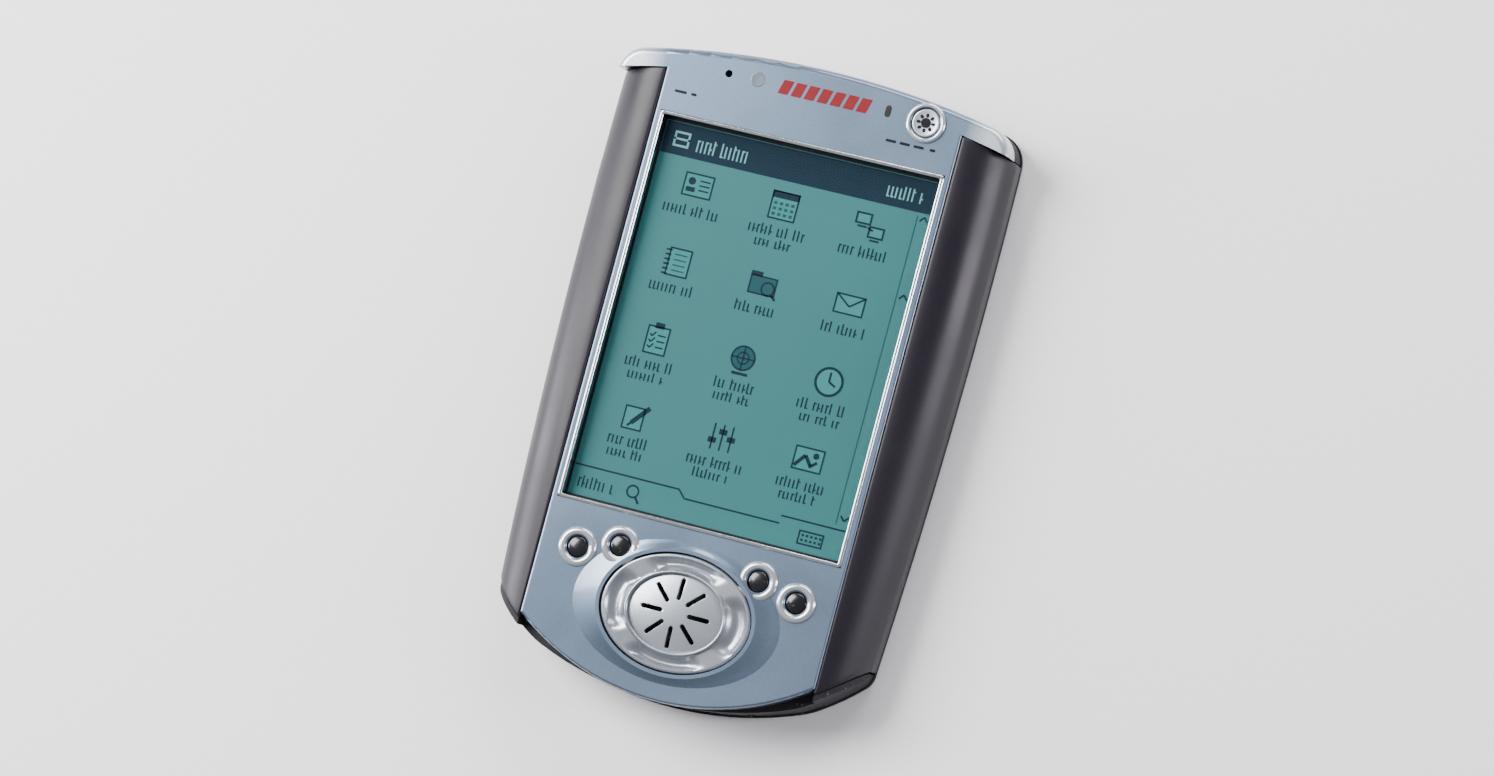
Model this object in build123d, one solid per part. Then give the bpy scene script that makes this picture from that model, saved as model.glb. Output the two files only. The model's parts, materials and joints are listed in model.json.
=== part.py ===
"""Handheld personal digital assistant, lying on its back: +X right, +Y to the top end, +Z out of the screen.

Origin at the middle of the back face. All sizes in millimetres. One STEP file per separate piece.
"""
import math
import os

from build123d import *

# ------------------------------------------------------------------ driving sizes of the case
LENGTH = 130.0            # bottom arc to top arc
WIDTH = 83.5              # across the grips, at their widest
DEPTH = 15.9              # back face to the rim of the speaker disc
FACE_Z = 14.8             # flat of the silver face
TOP_R = 185.0             # radius of the top end, seen from the front
BOTTOM_R = 72.0           # radius of the bottom end of the rear housing
SIDE_R = 1389.0           # radius of the long sides
SIDE_Y = 33.0             # height at which the case is widest
SILVER_R = 52.2           # radius of the bottom end of the silver face
SILVER_END = 64.7         # how far down the silver face reaches
STRIP_X = 31.2            # half width of the silver face between the grips
CAP_R = 180.7             # inner radius of the silver cap over the grips
GRIP_X = STRIP_X + 0.1    # where a grip starts
CORNER_RIM = 2.4          # how far the case reaches past the silver end at its lower corners
PLATE_T = 1.4             # thickness of the face plate
PLATE_Z = FACE_Z - PLATE_T
SHELL_T = 1.3             # wall of the rear housing
FLOOR_T = 1.5             # floor of the rear housing
LEDGE_Z = 3.1             # ledge that carries the grips
INNER_WALL_Z = 8.7        # top of the housing wall behind the grips
PART_TOP_Z = 8.8          # parting line at the top end
PART_BOTTOM_Z = 11.0      # parting line at the bottom end
WALL_INSET = 2.3          # housing wall behind the grips, measured in from the outline

# display: quarter-VGA panel of 0.24 mm dots
WINDOW = (58.4, 78.2)
WINDOW_Y = 9.55
PANEL = (61.6, 83.0)
TRAY = (64.6, 85.4)
PANEL_TOP_Z = 12.2
TOUCH_Z = (12.4, 13.3)

# controls
NAV = (0.0, -47.0)
NAV_RX, NAV_RY = 15.6, 11.7
NAV_GAP = 0.25
DISC_RX, DISC_RY = 10.5, 8.4
PIVOT_Z = 11.9
APP_KEYS = ((-23.1, -39.1), (-14.6, -36.8), (14.6, -36.8), (23.1, -39.1))
APP_R = 2.1
POWER = (23.5, 58.7)
POWER_R = 2.85
LED = (15.4, 59.3)
SENSOR = (-12.2, 59.6)
MIC = (-18.3, 58.6)
RECORD_Y = 34.0

# electronics
BOARD_Z = (6.6, 7.6)
KEY_BOARD_Z = (9.2, 10.0)
MAT_TOP_Z = 10.3
SPEAKER_R = 7.0

# ends of the case
STYLUS = (32.4, 5.4)      # x and z of the stylus axis
STYLUS_TOP = 61.9
STYLUS_TIP = -46.0
SILO_R = (2.35, 2.8)
JACK = (10.0, 5.6)        # x and z of the audio jack
JACK_MOUTH = 64.2
JACK_BORE_R = 1.78
JACK_DEPTH = 14.0
LATCH_X = 25.6
IR_X = -16.0
DOCK_W = 22.0
DC_X = -20.5
RESET_X = 17.5
SCREWS = ((-29.0, 55.2), (18.6, 55.4), (-27.3, -51.6), (27.3, -51.6))


# ------------------------------------------------------------------ helpers
def prism(sketch, z0, z1):
    """A straight block on the sketch, from z0 up to z1."""
    return extrude(Pos(0, 0, z0) * sketch, amount=z1 - z0)


def block(x0, x1, y0, y1, z0, z1):
    """A rectangular block between two corners."""
    return Pos((x0 + x1) / 2, (y0 + y1) / 2, (z0 + z1) / 2) * Box(x1 - x0, y1 - y0, z1 - z0)


def rod_z(x, y, r, z0, z1):
    """A round rod that stands on end."""
    return Pos(x, y, (z0 + z1) / 2) * Cylinder(r, z1 - z0)


def rod_y(x, z, r, y0, y1):
    """A round rod that lies along the case."""
    return Pos(x, (y0 + y1) / 2, z) * Rot(90, 0, 0) * Cylinder(r, y1 - y0)


def rod_x(y, z, r, x0, x1):
    """A round rod that lies across the case."""
    return Pos((x0 + x1) / 2, y, z) * Rot(0, 90, 0) * Cylinder(r, x1 - x0)


def oval(rx, ry, centre=NAV):
    """A flat ellipse about the middle of the navigation pad."""
    return Pos(*centre) * Ellipse(rx, ry)


def arch_y(x):
    """Height of the top end at a distance x from the middle."""
    return LENGTH / 2 - TOP_R + math.sqrt(TOP_R ** 2 - x ** 2)


def foot_y(x):
    """Height of the rear housing's bottom end at a distance x from the middle."""
    return -LENGTH / 2 + BOTTOM_R - math.sqrt(BOTTOM_R ** 2 - x ** 2)


def rounded(part, axis, where, radius):
    """The part with the edges of the face at one end of an axis rounded."""
    edges = part.edges().filter_by_position(axis, where - 0.01, where + 0.01)
    return fillet(edges, radius)


# ------------------------------------------------------------------ plans of the shells
def outline(inset=0.0, top_r=6.0, bottom_r=4.0):
    """Plan of the case: five arcs, with rounded corners, drawn inset from the true edge."""
    half = WIDTH / 2
    plan = Pos(0, LENGTH / 2 - TOP_R) * Circle(TOP_R - inset)
    plan &= Pos(0, BOTTOM_R - LENGTH / 2) * Circle(BOTTOM_R - inset) + Pos(0, LENGTH) * Rectangle(200, 240)
    plan &= Pos(half - SIDE_R, SIDE_Y) * Circle(SIDE_R - inset)
    plan &= Pos(SIDE_R - half, SIDE_Y) * Circle(SIDE_R - inset)
    plan &= silver_end(CORNER_RIM - inset)
    corners = plan.vertices().sort_by(Axis.Y)
    plan = fillet(corners[-2:], top_r - inset * 0.5)
    corners = plan.vertices().sort_by(Axis.Y)
    plan = fillet(corners[2:4], bottom_r - inset * 0.5)
    corners = plan.vertices().sort_by(Axis.Y)
    return fillet(corners[:2], 20.0)


def silver_end(grow=0.0):
    """Everything above the round bottom end of the silver face."""
    return Pos(0, SILVER_R - SILVER_END) * Circle(SILVER_R + grow) + Pos(0, 100 - 12.5) * Rectangle(200, 200)


def under_cap(grow=0.0):
    """Everything below the silver cap that runs across the top of the grips."""
    return Pos(0, LENGTH / 2 - TOP_R) * Circle(CAP_R + grow)


def side_strips(x):
    """The two areas beyond x on either side."""
    return Pos(x + 30, 0) * Rectangle(60, 200) + Pos(-x - 30, 0) * Rectangle(60, 200)


def grip_plan(gap=0.0):
    """Plan of both grips, with their lower ends in line with the silver face's round end."""
    return side_strips(GRIP_X - gap) & under_cap(gap - 0.1) & silver_end(1.0 + gap)


def side_x(y):
    """Half width of the case at a height y."""
    return WIDTH / 2 - SIDE_R + math.sqrt(SIDE_R ** 2 - (y - SIDE_Y) ** 2)


def grip_section(y):
    """Section of the right grip at y: a curved lip from face level round to an upright side wall."""
    side = side_x(y)
    hub = (side - 9.66, 4.9)
    outer_r, inner_r = 9.9, 8.45
    inner_x = side - 11.6
    shoulder = (side, hub[1] + math.sqrt(outer_r ** 2 - (side - hub[0]) ** 2))
    inner_side = side - 2.0
    inner_end = (inner_side, hub[1] + math.sqrt(inner_r ** 2 - (inner_side - hub[0]) ** 2))
    start = (inner_x, hub[1] + math.sqrt(outer_r ** 2 - (inner_x - hub[0]) ** 2))
    inner_start = (inner_x, hub[1] + math.sqrt(inner_r ** 2 - (inner_x - hub[0]) ** 2))
    slant = math.radians(50)
    outer_mid = (hub[0] + outer_r * math.cos(slant), hub[1] + outer_r * math.sin(slant))
    inner_mid = (hub[0] + inner_r * math.cos(slant), hub[1] + inner_r * math.sin(slant))
    edge = ThreePointArc(start, outer_mid, shoulder)
    edge += Polyline(shoulder, (side, LEDGE_Z), (inner_side, LEDGE_Z), inner_end)
    edge += ThreePointArc(inner_end, inner_mid, inner_start)
    edge += Line(inner_start, start)
    return Plane.XZ.offset(-y) * make_face(edge)


def grip_fill(y, drop=0.3):
    """Filled section of the right grip at y, a little smaller all round."""
    side = side_x(y)
    hub = (side - 9.66, 4.9)
    radius = 9.9 - drop
    shoulder = (side - drop, hub[1] + math.sqrt(radius ** 2 - (side - drop - hub[0]) ** 2))
    inner_x = side - 11.6
    start = (inner_x, hub[1] + math.sqrt(radius ** 2 - (inner_x - hub[0]) ** 2))
    slant = math.radians(50)
    edge = ThreePointArc(start, (hub[0] + radius * math.cos(slant), hub[1] + radius * math.sin(slant)), shoulder)
    edge += Polyline(shoulder, (side - drop, LEDGE_Z - 1), (inner_x, LEDGE_Z - 1), start)
    return Plane.XZ.offset(-y) * make_face(edge)


# ------------------------------------------------------------------ shells
def side_grip():
    """Right-hand grip: the section carried along the bowed side, trimmed to its plan."""
    stations = [grip_section(y) for y in (62.0, SIDE_Y, 5.0, -23.0, -58.0)]
    return loft(stations) & prism(grip_plan(), 0, DEPTH)


def record_slot(grow=0.0):
    """Round-ended slot through the left side for the record button."""
    slot = Plane.YZ * (Pos(RECORD_Y, 6.2) * SlotOverall(9.0 + 2 * grow, 2.8 + 2 * grow))
    return Pos(-WIDTH / 2 - 1, 0, 0) * extrude(slot, amount=6.0)


def left_grip():
    """Left-hand grip: the mirror image, with the slot for the record button."""
    return mirror(side_grip(), about=Plane.YZ) - record_slot(0.15)


def mound():
    """Raised oval surround of the navigation pad, swelling smoothly out of the face."""
    steps = ((-0.3, 22.6, 14.7), (0.0, 21.6, 14.2), (0.2, 19.8, 13.7), (0.55, 17.8, 13.1), (0.8, 16.6, 12.7))
    return loft([Pos(0, 0, FACE_Z + rise) * oval(rx, ry) for rise, rx, ry in steps])


def collar(x, y, r_in, r_out, height=0.55):
    """Raised ring with a round crest, about a key."""
    crest = ((r_in + r_out) / 2, height)
    profile = ThreePointArc((r_in, 0), crest, (r_out, 0))
    profile += Polyline((r_out, 0), (r_out, -1.2), (r_in, -1.2), (r_in, 0))
    ring = revolve(Plane.XZ * make_face(profile), axis=Axis.Z)
    return Pos(x, y, FACE_Z) * ring


def silver_cap():
    """Cap across the top end, rolled over along its outer edge."""
    plan = outline(0.3) - under_cap()
    cap = prism(plan, PART_TOP_Z, FACE_Z)
    rim = cap.edges().filter_by_position(Axis.Z, FACE_Z - 0.01, FACE_Z + 0.01)
    rim = [edge for edge in rim if edge.center().Y > 62 or abs(edge.center().X) > 1]
    cap = fillet(rim, 1.4)
    return cap - prism(outline(1.9) & Pos(0, 60) * Rectangle(100, 40), 0, PLATE_Z)


def front_bezel():
    """Silver front shell with its openings, skirts and screw posts."""
    plan = Rectangle(2 * STRIP_X, 200) & silver_end() & under_cap(1.0)
    strip = rounded(prism(plan, PLATE_Z, FACE_Z), Axis.Z, FACE_Z, 0.5)
    strip -= prism(plan - under_cap(0.02), 0, DEPTH)
    bezel = strip + silver_cap()
    lower = plan - (silver_end(-1.5) & Rectangle(2 * STRIP_X - 3, 200))
    bezel += prism(lower & Pos(0, -75) * Rectangle(100, 50), PART_BOTTOM_Z, PLATE_Z + 0.2)
    bezel += mound()
    for x, y in APP_KEYS:
        bezel += collar(x, y, APP_R, 3.9)
    bezel += collar(*POWER, POWER_R, 3.9)
    for x, y in SCREWS:
        bezel += rod_z(x, y, 1.9, BOARD_Z[1], PLATE_Z + 0.2)
    cuts = [Pos(0, WINDOW_Y, FACE_Z) * Box(WINDOW[0] + 1.6, WINDOW[1] + 1.6, 8)]
    cuts += [prism(oval(NAV_RX + NAV_GAP, NAV_RY + NAV_GAP), PLATE_Z - 1, DEPTH)]
    cuts += [rod_z(x, y, APP_R + 0.15, PLATE_Z - 1, DEPTH) for x, y in APP_KEYS]
    cuts += [rod_z(*POWER, POWER_R + 0.15, PLATE_Z - 1, DEPTH)]
    cuts += [prism(Pos(*LED) * led_slot(0.02), PLATE_Z - 1, DEPTH)]
    cuts += [rod_z(*SENSOR, 1.52, PLATE_Z - 1, DEPTH), rod_z(MIC[0], MIC[1] + 0.8, 0.75, PLATE_Z - 1, DEPTH)]
    cuts += [rod_z(x, y, 0.85, BOARD_Z[1] - 1, PLATE_Z - 0.6) for x, y in SCREWS]
    return bezel - cuts


def led_slot(grow=0.0):
    """Upright slot of the charge light."""
    return Rot(0, 0, 90) * SlotOverall(2.4 + 2 * grow, 1.2 + 2 * grow)


def display_frame():
    """Bright trim that lines the window and stands a little proud of the face."""
    outer = Pos(0, WINDOW_Y) * RectangleRounded(WINDOW[0] + 1.5, WINDOW[1] + 1.5, 0.7)
    inner = Pos(0, WINDOW_Y) * RectangleRounded(WINDOW[0], WINDOW[1], 0.3)
    frame = prism(outer, PLATE_Z, FACE_Z + 0.25) - prism(inner, PLATE_Z - 1, DEPTH)
    return rounded(frame, Axis.Z, FACE_Z + 0.25, 0.25)


def bottom_ring():
    """Thick bottom end of the rear housing, below the grips."""
    inner = outline(WALL_INSET) & silver_end(-1.5)
    ring = outline(0.4) - inner - grip_plan(0.05)
    face_end = prism(ring & Rectangle(2 * GRIP_X, 200), LEDGE_Z, PART_BOTTOM_Z)
    corner = loft([grip_fill(y) for y in (-40.0, -49.0, -60.0)])
    corner &= prism((outline(0.3) & side_strips(GRIP_X - 0.05)) - inner - grip_plan(0.05), LEDGE_Z, DEPTH)
    ends = face_end + corner + mirror(corner, about=Plane.YZ)
    return ends & block(-60, 60, -70, -43, 0, 16)


def rear_housing():
    """Rear shell: tray floor, ledge for the grips, inner wall and screw bosses."""
    tray = rounded(prism(outline(), 0, LEDGE_Z), Axis.Z, 0, 2.2)
    shell = tray + prism(outline(WALL_INSET), LEDGE_Z, INNER_WALL_Z)
    shell += prism(outline(0.3) - under_cap(0.1), LEDGE_Z, PART_TOP_Z)
    shell -= prism(outline(WALL_INSET + SHELL_T), FLOOR_T, DEPTH)
    shell += bottom_ring()
    for x, y in SCREWS:
        shell += rod_z(x, y, 1.9, FLOOR_T - 0.2, BOARD_Z[0])
    cuts = [rod_z(x, y, 1.0, -1, DEPTH) for x, y in SCREWS]
    cuts += [rod_z(x, y, 1.75, -1, 1.0) for x, y in SCREWS]
    cuts += end_openings()
    return shell - cuts


def end_openings():
    """Openings of the rear housing: top end, bottom end, left side and back."""
    x, z = STYLUS
    dock = block(-DOCK_W / 2 - 0.1, DOCK_W / 2 + 0.1, -70, -58, 3.3, 6.7)
    return [
        rod_y(x, z, SILO_R[1] + 0.02, 50, 70),
        rod_y(*JACK, 2.72, 55, 70),
        block(LATCH_X - 2.6, LATCH_X + 2.6, 55, 70, 3.3, 6.1),
        block(IR_X - 5.6, IR_X + 5.6, 55, 70, 3.4, 7.4),
        dock,
        rod_y(DC_X, 4.4, 2.12, -70, -55),
        rod_y(RESET_X, 4.7, 1.0, -70, -55),
        block(-23.1, 23.1, -45.1, -38.9, -1, 3),
        record_slot(0.3),
        block(-38.9, -37, RECORD_Y - 5.6, RECORD_Y + 5.6, 4.4, INNER_WALL_Z + 1),
    ]


# ------------------------------------------------------------------ display stack
def plate_at(size, z0, z1, corner=0.4):
    """A flat plate of the display stack."""
    return prism(Pos(0, WINDOW_Y) * RectangleRounded(*size, corner), z0, z1)


def display_parts():
    """Gasket, touch panel, tape, panel, backlight sheet and tray, from the face down."""
    tray = plate_at(TRAY, 9.7, 12.3) - plate_at((PANEL[0] + 0.4, PANEL[1] + 0.4), 10.1, 13)
    gasket = plate_at((62.0, 82.2), TOUCH_Z[1], PLATE_Z) - plate_at((59.4, 79.4), 13, 14)
    tape = plate_at((64.0, 85.0), 12.3, TOUCH_Z[0]) - plate_at((62.2, 83.6), 12, 13)
    return {
        "window_gasket": gasket,
        "touch_panel": plate_at((64.2, 85.0), *TOUCH_Z),
        "panel_tape": tape,
        "lcd_panel": plate_at(PANEL, 10.5, PANEL_TOP_Z),
        "backlight_sheet": plate_at((60.6, 81.0), 10.1, 10.5),
        "lcd_tray": tray,
    }


def lcd_flex():
    """Display ribbon, folded from the tray's left edge down to the main board."""
    fold = block(-33.6, -33.4, 6, 24, BOARD_Z[1], 11.2)
    fold += block(-33.4, -32.3, 6, 24, 11.0, 11.2)
    return fold + block(-33.4, -31.4, 6, 24, BOARD_Z[1], BOARD_Z[1] + 0.2)


def touch_flex():
    """Touch-panel ribbon, folded over the tray's top edge down to the main board."""
    y = WINDOW_Y + TRAY[1] / 2
    fold = block(-8, -1, y + 0.6, y + 0.8, BOARD_Z[1], 12.8)
    fold += block(-8, -1, y - 0.2, y + 0.6, 12.6, 12.8)
    return fold + block(-8, -1, y + 0.8, y + 2.4, BOARD_Z[1], BOARD_Z[1] + 0.2)


# ------------------------------------------------------------------ navigation control
def nav_slots():
    """Eight radial slots of the speaker disc."""
    slot = Pos(4.75, 0) * SlotOverall(4.5, 0.9)
    fan = Rot(0, 0, 0) * slot
    for step in range(1, 8):
        fan += Rot(0, 0, 45 * step) * slot
    return Pos(*NAV) * fan


def speaker_grille():
    """Slotted disc set into the middle of the pad."""
    disc = prism(oval(DISC_RX - 0.7, DISC_RY - 0.7), 14.9, 15.65)
    return disc - prism(nav_slots(), 14, DEPTH)


def finger_scoops():
    """Four shallow scoops at the points of the compass round the disc."""
    band = oval(NAV_RX - 1.1, NAV_RY - 1.0) - oval(DISC_RX + 0.5, DISC_RY + 0.5)
    cuts = []
    for turn in range(4):
        reach = 30.0
        spread = math.radians(30)
        wedge = Polyline((0, 0), (reach * math.cos(spread), reach * math.sin(spread)),
                         (reach * math.cos(spread), -reach * math.sin(spread)), (0, 0))
        sector = Pos(*NAV) * Rot(0, 0, 90 * turn) * make_face(wedge)
        cuts.append(prism(band & sector, 14.7, DEPTH))
    return cuts


def nav_pad():
    """Rocking pad: oval skirted cap with four retaining tabs and two pivot lugs."""
    pad = rounded(prism(oval(NAV_RX, NAV_RY), 12.0, 15.3), Axis.Z, 15.3, 0.4)
    pad -= finger_scoops()
    pad += prism(oval(DISC_RX, DISC_RY), 15.0, DEPTH)
    pad -= prism(oval(DISC_RX - 0.7, DISC_RY - 0.7), 14.9, 17)
    pad -= prism(oval(DISC_RX - 1.4, DISC_RY - 1.4), 13, 17)
    pad -= prism(oval(NAV_RX - 1.2, NAV_RY - 1.0), 11, 13.9)
    x, y = NAV
    for side in (-1, 1):
        tab = block(NAV_RX - 0.9, NAV_RX + 0.6, -3, 3, 12.0, 12.6)
        pad += Pos(x, y) * Rot(0, 0, 90 - 90 * side) * tab
        lug = block(10.8, 12.0, -1.1, 1.1, 11.4, 14.0)
        pad += Pos(x, y) * Rot(0, 0, 90 - 90 * side) * lug
    return pad - rod_x(y, PIVOT_Z, 0.40, x - 13, x + 13)


def ring_at(r_in, r_out):
    """Flat ring about the middle of the pad, at the height of the pivots."""
    z0, z1 = PIVOT_Z - 0.5, PIVOT_Z + 0.5
    return rod_z(*NAV, r_out, z0, z1) - rod_z(*NAV, r_in, z0 - 1, z1 + 1)


def nav_guide_ring():
    """Inner ring: slides on three pins and carries the fore-and-aft pivots."""
    x, y = NAV
    ring = ring_at(7.6, 9.0)
    for angle in guide_angles():
        ring += rod_z(x + 8.3 * math.cos(angle), y + 8.3 * math.sin(angle), 0.45, 8.9, PIVOT_Z)
    pins = rod_y(x, PIVOT_Z, 0.35, y - 10.3, y + 10.3) - rod_z(x, y, 8.5, 11, 13)
    return ring + pins


def nav_pivot_ring():
    """Outer ring: rocks on the inner ring and carries the pad on its cross pivots."""
    x, y = NAV
    ring = ring_at(9.3, 10.5) - rod_y(x, PIVOT_Z, 0.40, y - 12, y + 12)
    pins = rod_x(y, PIVOT_Z, 0.35, x - 11.9, x + 11.9) - rod_z(x, y, 10.0, 11, 13)
    return ring + pins


def guide_angles():
    """Directions of the three guide pins."""
    return [math.radians(angle) for angle in (30, 150, 270)]


# ------------------------------------------------------------------ keys
def app_button(x, y):
    """Domed application key with its flange and stem."""
    cap = rod_z(x, y, APP_R, 12.5, FACE_Z + 0.55)
    cap = rounded(cap, Axis.Z, FACE_Z + 0.55, 0.5)
    return cap + rod_z(x, y, 2.7, 12.5, 13.3) + rod_z(x, y, 1.1, 10.85, 12.6)


def power_button():
    """Round power key: a dished cap, a flange trimmed to the case wall and a stem."""
    x, y = POWER
    cap = rounded(rod_z(x, y, POWER_R, 12.5, FACE_Z + 0.3), Axis.Z, FACE_Z + 0.3, 0.25)
    flange = rod_z(x, y, 3.35, 12.5, 13.3) & block(x - 5, x + 5, y - 5, y + 2.3, 12, 14)
    return cap + flange + rod_z(x, y - 1.5, 0.9, 9.8, 12.6)


def record_button():
    """Voice-record key in the left side, with its inner flange and stem."""
    slot = Plane.YZ * (Pos(RECORD_Y, 6.2) * SlotOverall(9.0, 2.8))
    cap = Pos(-WIDTH / 2 + 0.1, 0, 0) * extrude(slot, amount=4.2)
    flange = block(-38.8, -38.0, RECORD_Y - 5.3, RECORD_Y + 5.3, 4.6, 7.8)
    return cap + flange + rod_x(RECORD_Y, 6.2, 0.9, -38.5, -36.4)


def reset_button():
    """Small pin set back in the bottom end, worked with the stylus tip."""
    y = foot_y(RESET_X)
    pin = rod_y(RESET_X, 4.7, 0.9, y + 1.2, y + 4.6)
    return pin + rod_y(RESET_X, 4.7, 1.5, y + 4.2, y + 5.0)


# ------------------------------------------------------------------ stylus and its latch
def stylus_parts():
    """Barrel, tip and head of the stylus, and the tube that stores it."""
    x, z = STYLUS
    silo = rod_y(x, z, SILO_R[1], STYLUS_TIP - 1.4, arch_y(x) - 0.6)
    silo -= rod_y(x, z, SILO_R[0], STYLUS_TIP - 0.6, 80)
    tip = Pos(x, STYLUS_TIP + 3.5, z) * Rot(90, 0, 0) * Cone(2.0, 0.55, 7.0)
    barrel = rod_y(x, z, 2.0, STYLUS_TIP + 7, STYLUS_TOP - 9)
    barrel -= [rod_y(x, z, 3, y, y + 0.5) - rod_y(x, z, 1.85, y, y + 0.5) for y in (30.0, 31.5, 33.0)]
    head = rod_y(x, z, 2.27, STYLUS_TOP - 9, STYLUS_TOP)
    head = rounded(head, Axis.Y, STYLUS_TOP, 0.5)
    return {"stylus_silo": silo, "stylus_tip": tip, "stylus_barrel": barrel, "stylus_head": head}


def stylus_latch():
    """Release key in the top end, with the arm that its spring pushes on."""
    top = arch_y(LATCH_X) - 0.1
    key = block(LATCH_X - 2.4, LATCH_X + 2.4, 57.4, top, 3.5, 5.9)
    key = rounded(key, Axis.Y, top, 0.5)
    flange = block(LATCH_X - 3.2, LATCH_X + 3.2, 56.6, 57.6, 3.0, 6.3)
    arm = block(LATCH_X - 3.2, LATCH_X - 2.2, 50.0, 57.0, 3.4, 6.0)
    return key + flange + arm


def latch_spring():
    """Coil spring behind the release key."""
    wire = 0.25
    coil = Helix(pitch=1.0, height=5.0, radius=1.1)
    spring = sweep(Plane(coil @ 0, z_dir=coil % 0) * Circle(wire), path=coil)
    return Pos(LATCH_X + 0.6, 56.6 - wire, 4.7) * Rot(90, 0, 0) * spring


# ------------------------------------------------------------------ boards and what they carry
def main_board():
    """Main circuit board, shaped to the case and notched round the audio jack and stylus tube."""
    plan = outline(WALL_INSET + SHELL_T + 0.2) & Pos(-70.8, 0) * Rectangle(200, 200)
    board = prism(plan & silver_end(-1.8), *BOARD_Z)
    board -= [rod_z(x, y, 1.1, 0, 16) for x, y in SCREWS]
    board -= block(JACK[0] - 3.5, JACK[0] + 3.5, 46.5, 70, 0, 16)
    return board - block(-50, -35.6, RECORD_Y - 6, RECORD_Y + 6, 0, 16)


def key_board():
    """Small board for the keys, with openings for the speaker, guide pins and screw posts."""
    x, y = NAV
    plan = Pos(0, y + 0.4) * Rectangle(50.6, 25.6) & silver_end(-1.9)
    board = prism(plan, *KEY_BOARD_Z) - rod_z(x, y, SPEAKER_R + 0.3, 0, 16)
    for angle in guide_angles():
        board -= rod_z(x + 8.3 * math.cos(angle), y + 8.3 * math.sin(angle), 0.5, 0, 16)
    return board - [rod_z(px, py, 2.1, 0, 16) for px, py in SCREWS]


def key_mat():
    """Rubber sheet over the switches, with a low nub under each key."""
    x, y = NAV
    plan = Pos(0, y + 0.4) * Rectangle(50.0, 25.0) & silver_end(-2.3)
    mat = prism(plan, KEY_BOARD_Z[1], MAT_TOP_Z) - rod_z(x, y, 9.2, 0, 16)
    return mat - [rod_z(px, py, 2.3, 0, 16) for px, py in SCREWS]


def key_board_stands():
    """Four spacers that hold the key board off the main board."""
    spots = [(-19.5, -38.0), (19.5, -38.0), (-18.0, -56.5), (18.0, -56.5)]
    stands = [rod_z(x, y, 1.3, BOARD_Z[1], KEY_BOARD_Z[0]) for x, y in spots]
    return Compound(children=stands)


def chip(x, y, w, h, t):
    """A flat package on the top of the main board."""
    return block(x - w / 2, x + w / 2, y - h / 2, y + h / 2, BOARD_Z[1], BOARD_Z[1] + t)


def board_parts():
    """Packages, switches and sensors that sit on the main board."""
    lower = BOARD_Z[0]
    memory = [chip(14.0, 22.0, 12, 18, 1.2), chip(14.0, -1.0, 12, 18, 1.2)]
    reset_y = foot_y(RESET_X) + 5.45
    return {
        "processor": chip(-10.0, 12.0, 17, 17, 1.4),
        "memory_chips": Compound(children=memory),
        "power_supply_shield": chip(-12.0, -16.0, 24, 18, 1.7),
        "power_switch": chip(POWER[0], POWER[1] - 1.9, 3.6, 3.4, 1.7),
        "charge_led": chip(LED[0], LED[1] - 0.2, 1.6, 1.6, 0.8),
        "light_sensor": chip(SENSOR[0], SENSOR[1] - 0.9, 2.4, 2.2, 0.9),
        "microphone": rod_z(*MIC[:1], MIC[1] - 1.0, 1.9, BOARD_Z[1], 9.6),
        "record_switch": block(-35.9, -33.2, RECORD_Y - 2, RECORD_Y + 2, 4.6, lower),
        "reset_switch": block(RESET_X - 1.8, RESET_X + 1.8, reset_y, reset_y + 3.2, 3.2, lower),
        "ir_transceiver": block(IR_X - 4.6, IR_X + 4.6, 56.0, 59.6, 3.4, lower),
        "speaker": rod_z(*NAV, SPEAKER_R, BOARD_Z[1], 10.9) - rod_z(*NAV, SPEAKER_R - 1, 10.4, 12),
    }


def mic_boot():
    """Rubber sleeve from the microphone up to its hole in the face."""
    x, y = MIC
    boot = rod_z(x, y - 1.0, 2.5, BOARD_Z[1], PLATE_Z) & block(x - 5, x + 5, y - 5, y + 1.2, 0, 16)
    return boot - rod_z(x, y - 1.0, 1.9, 0, 9.6) - rod_z(x, y, 0.6, 0, 16)


def light_pipes():
    """Clear parts in the face: the charge light and the ambient light sensor."""
    led = prism(Pos(*LED) * led_slot(), BOARD_Z[1] + 0.9, FACE_Z + 0.05)
    sensor = rounded(rod_z(*SENSOR, 1.5, 12.9, FACE_Z + 0.15), Axis.Z, FACE_Z + 0.15, 0.14)
    return {"charge_light_pipe": led, "light_sensor_lens": sensor}


def ir_window():
    """Dark infrared window in the top end, following its curve."""
    pane = block(IR_X - 5.5, IR_X + 5.5, 61.0, 70, 3.5, 7.3)
    return pane & prism(outline(0.3), 0, DEPTH)


def headphone_jack():
    """Audio socket: moulded body with a round nose, its contacts and the plug bore."""
    x, z = JACK
    body = block(x - 3.2, x + 3.2, 47.0, 60.7, z - 2.9, z + 2.9) + rod_y(x, z, 2.7, 60, JACK_MOUTH)
    return body - rod_y(x, z, JACK_BORE_R, JACK_MOUTH - JACK_DEPTH, 70)


def dock_connector():
    """Cradle connector in the bottom end, with its contact tongue."""
    half = DOCK_W / 2
    y = foot_y(0)
    shell = block(-half, half, y + 0.7, y + 9.0, 3.35, 6.6) & prism(outline(0.5), 0, DEPTH)
    shell -= block(-half + 0.8, half - 0.8, y - 1, y + 5.5, 3.9, 6.1)
    return shell + block(-half + 2.0, half - 2.0, y + 1.5, y + 6.0, 4.7, 5.3)


def dc_jack():
    """Charging socket with its centre pin."""
    y = foot_y(DC_X)
    body = block(DC_X - 3.0, DC_X + 3.0, y + 5.2, y + 13.0, 2.2, BOARD_Z[0])
    body += rod_y(DC_X, 4.4, 2.1, y + 1.0, y + 6.0)
    body -= rod_y(DC_X, 4.4, 1.6, y - 2.0, y + 8.5)
    return body + rod_y(DC_X, 4.4, 0.45, y + 2.0, y + 9.0)


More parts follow.
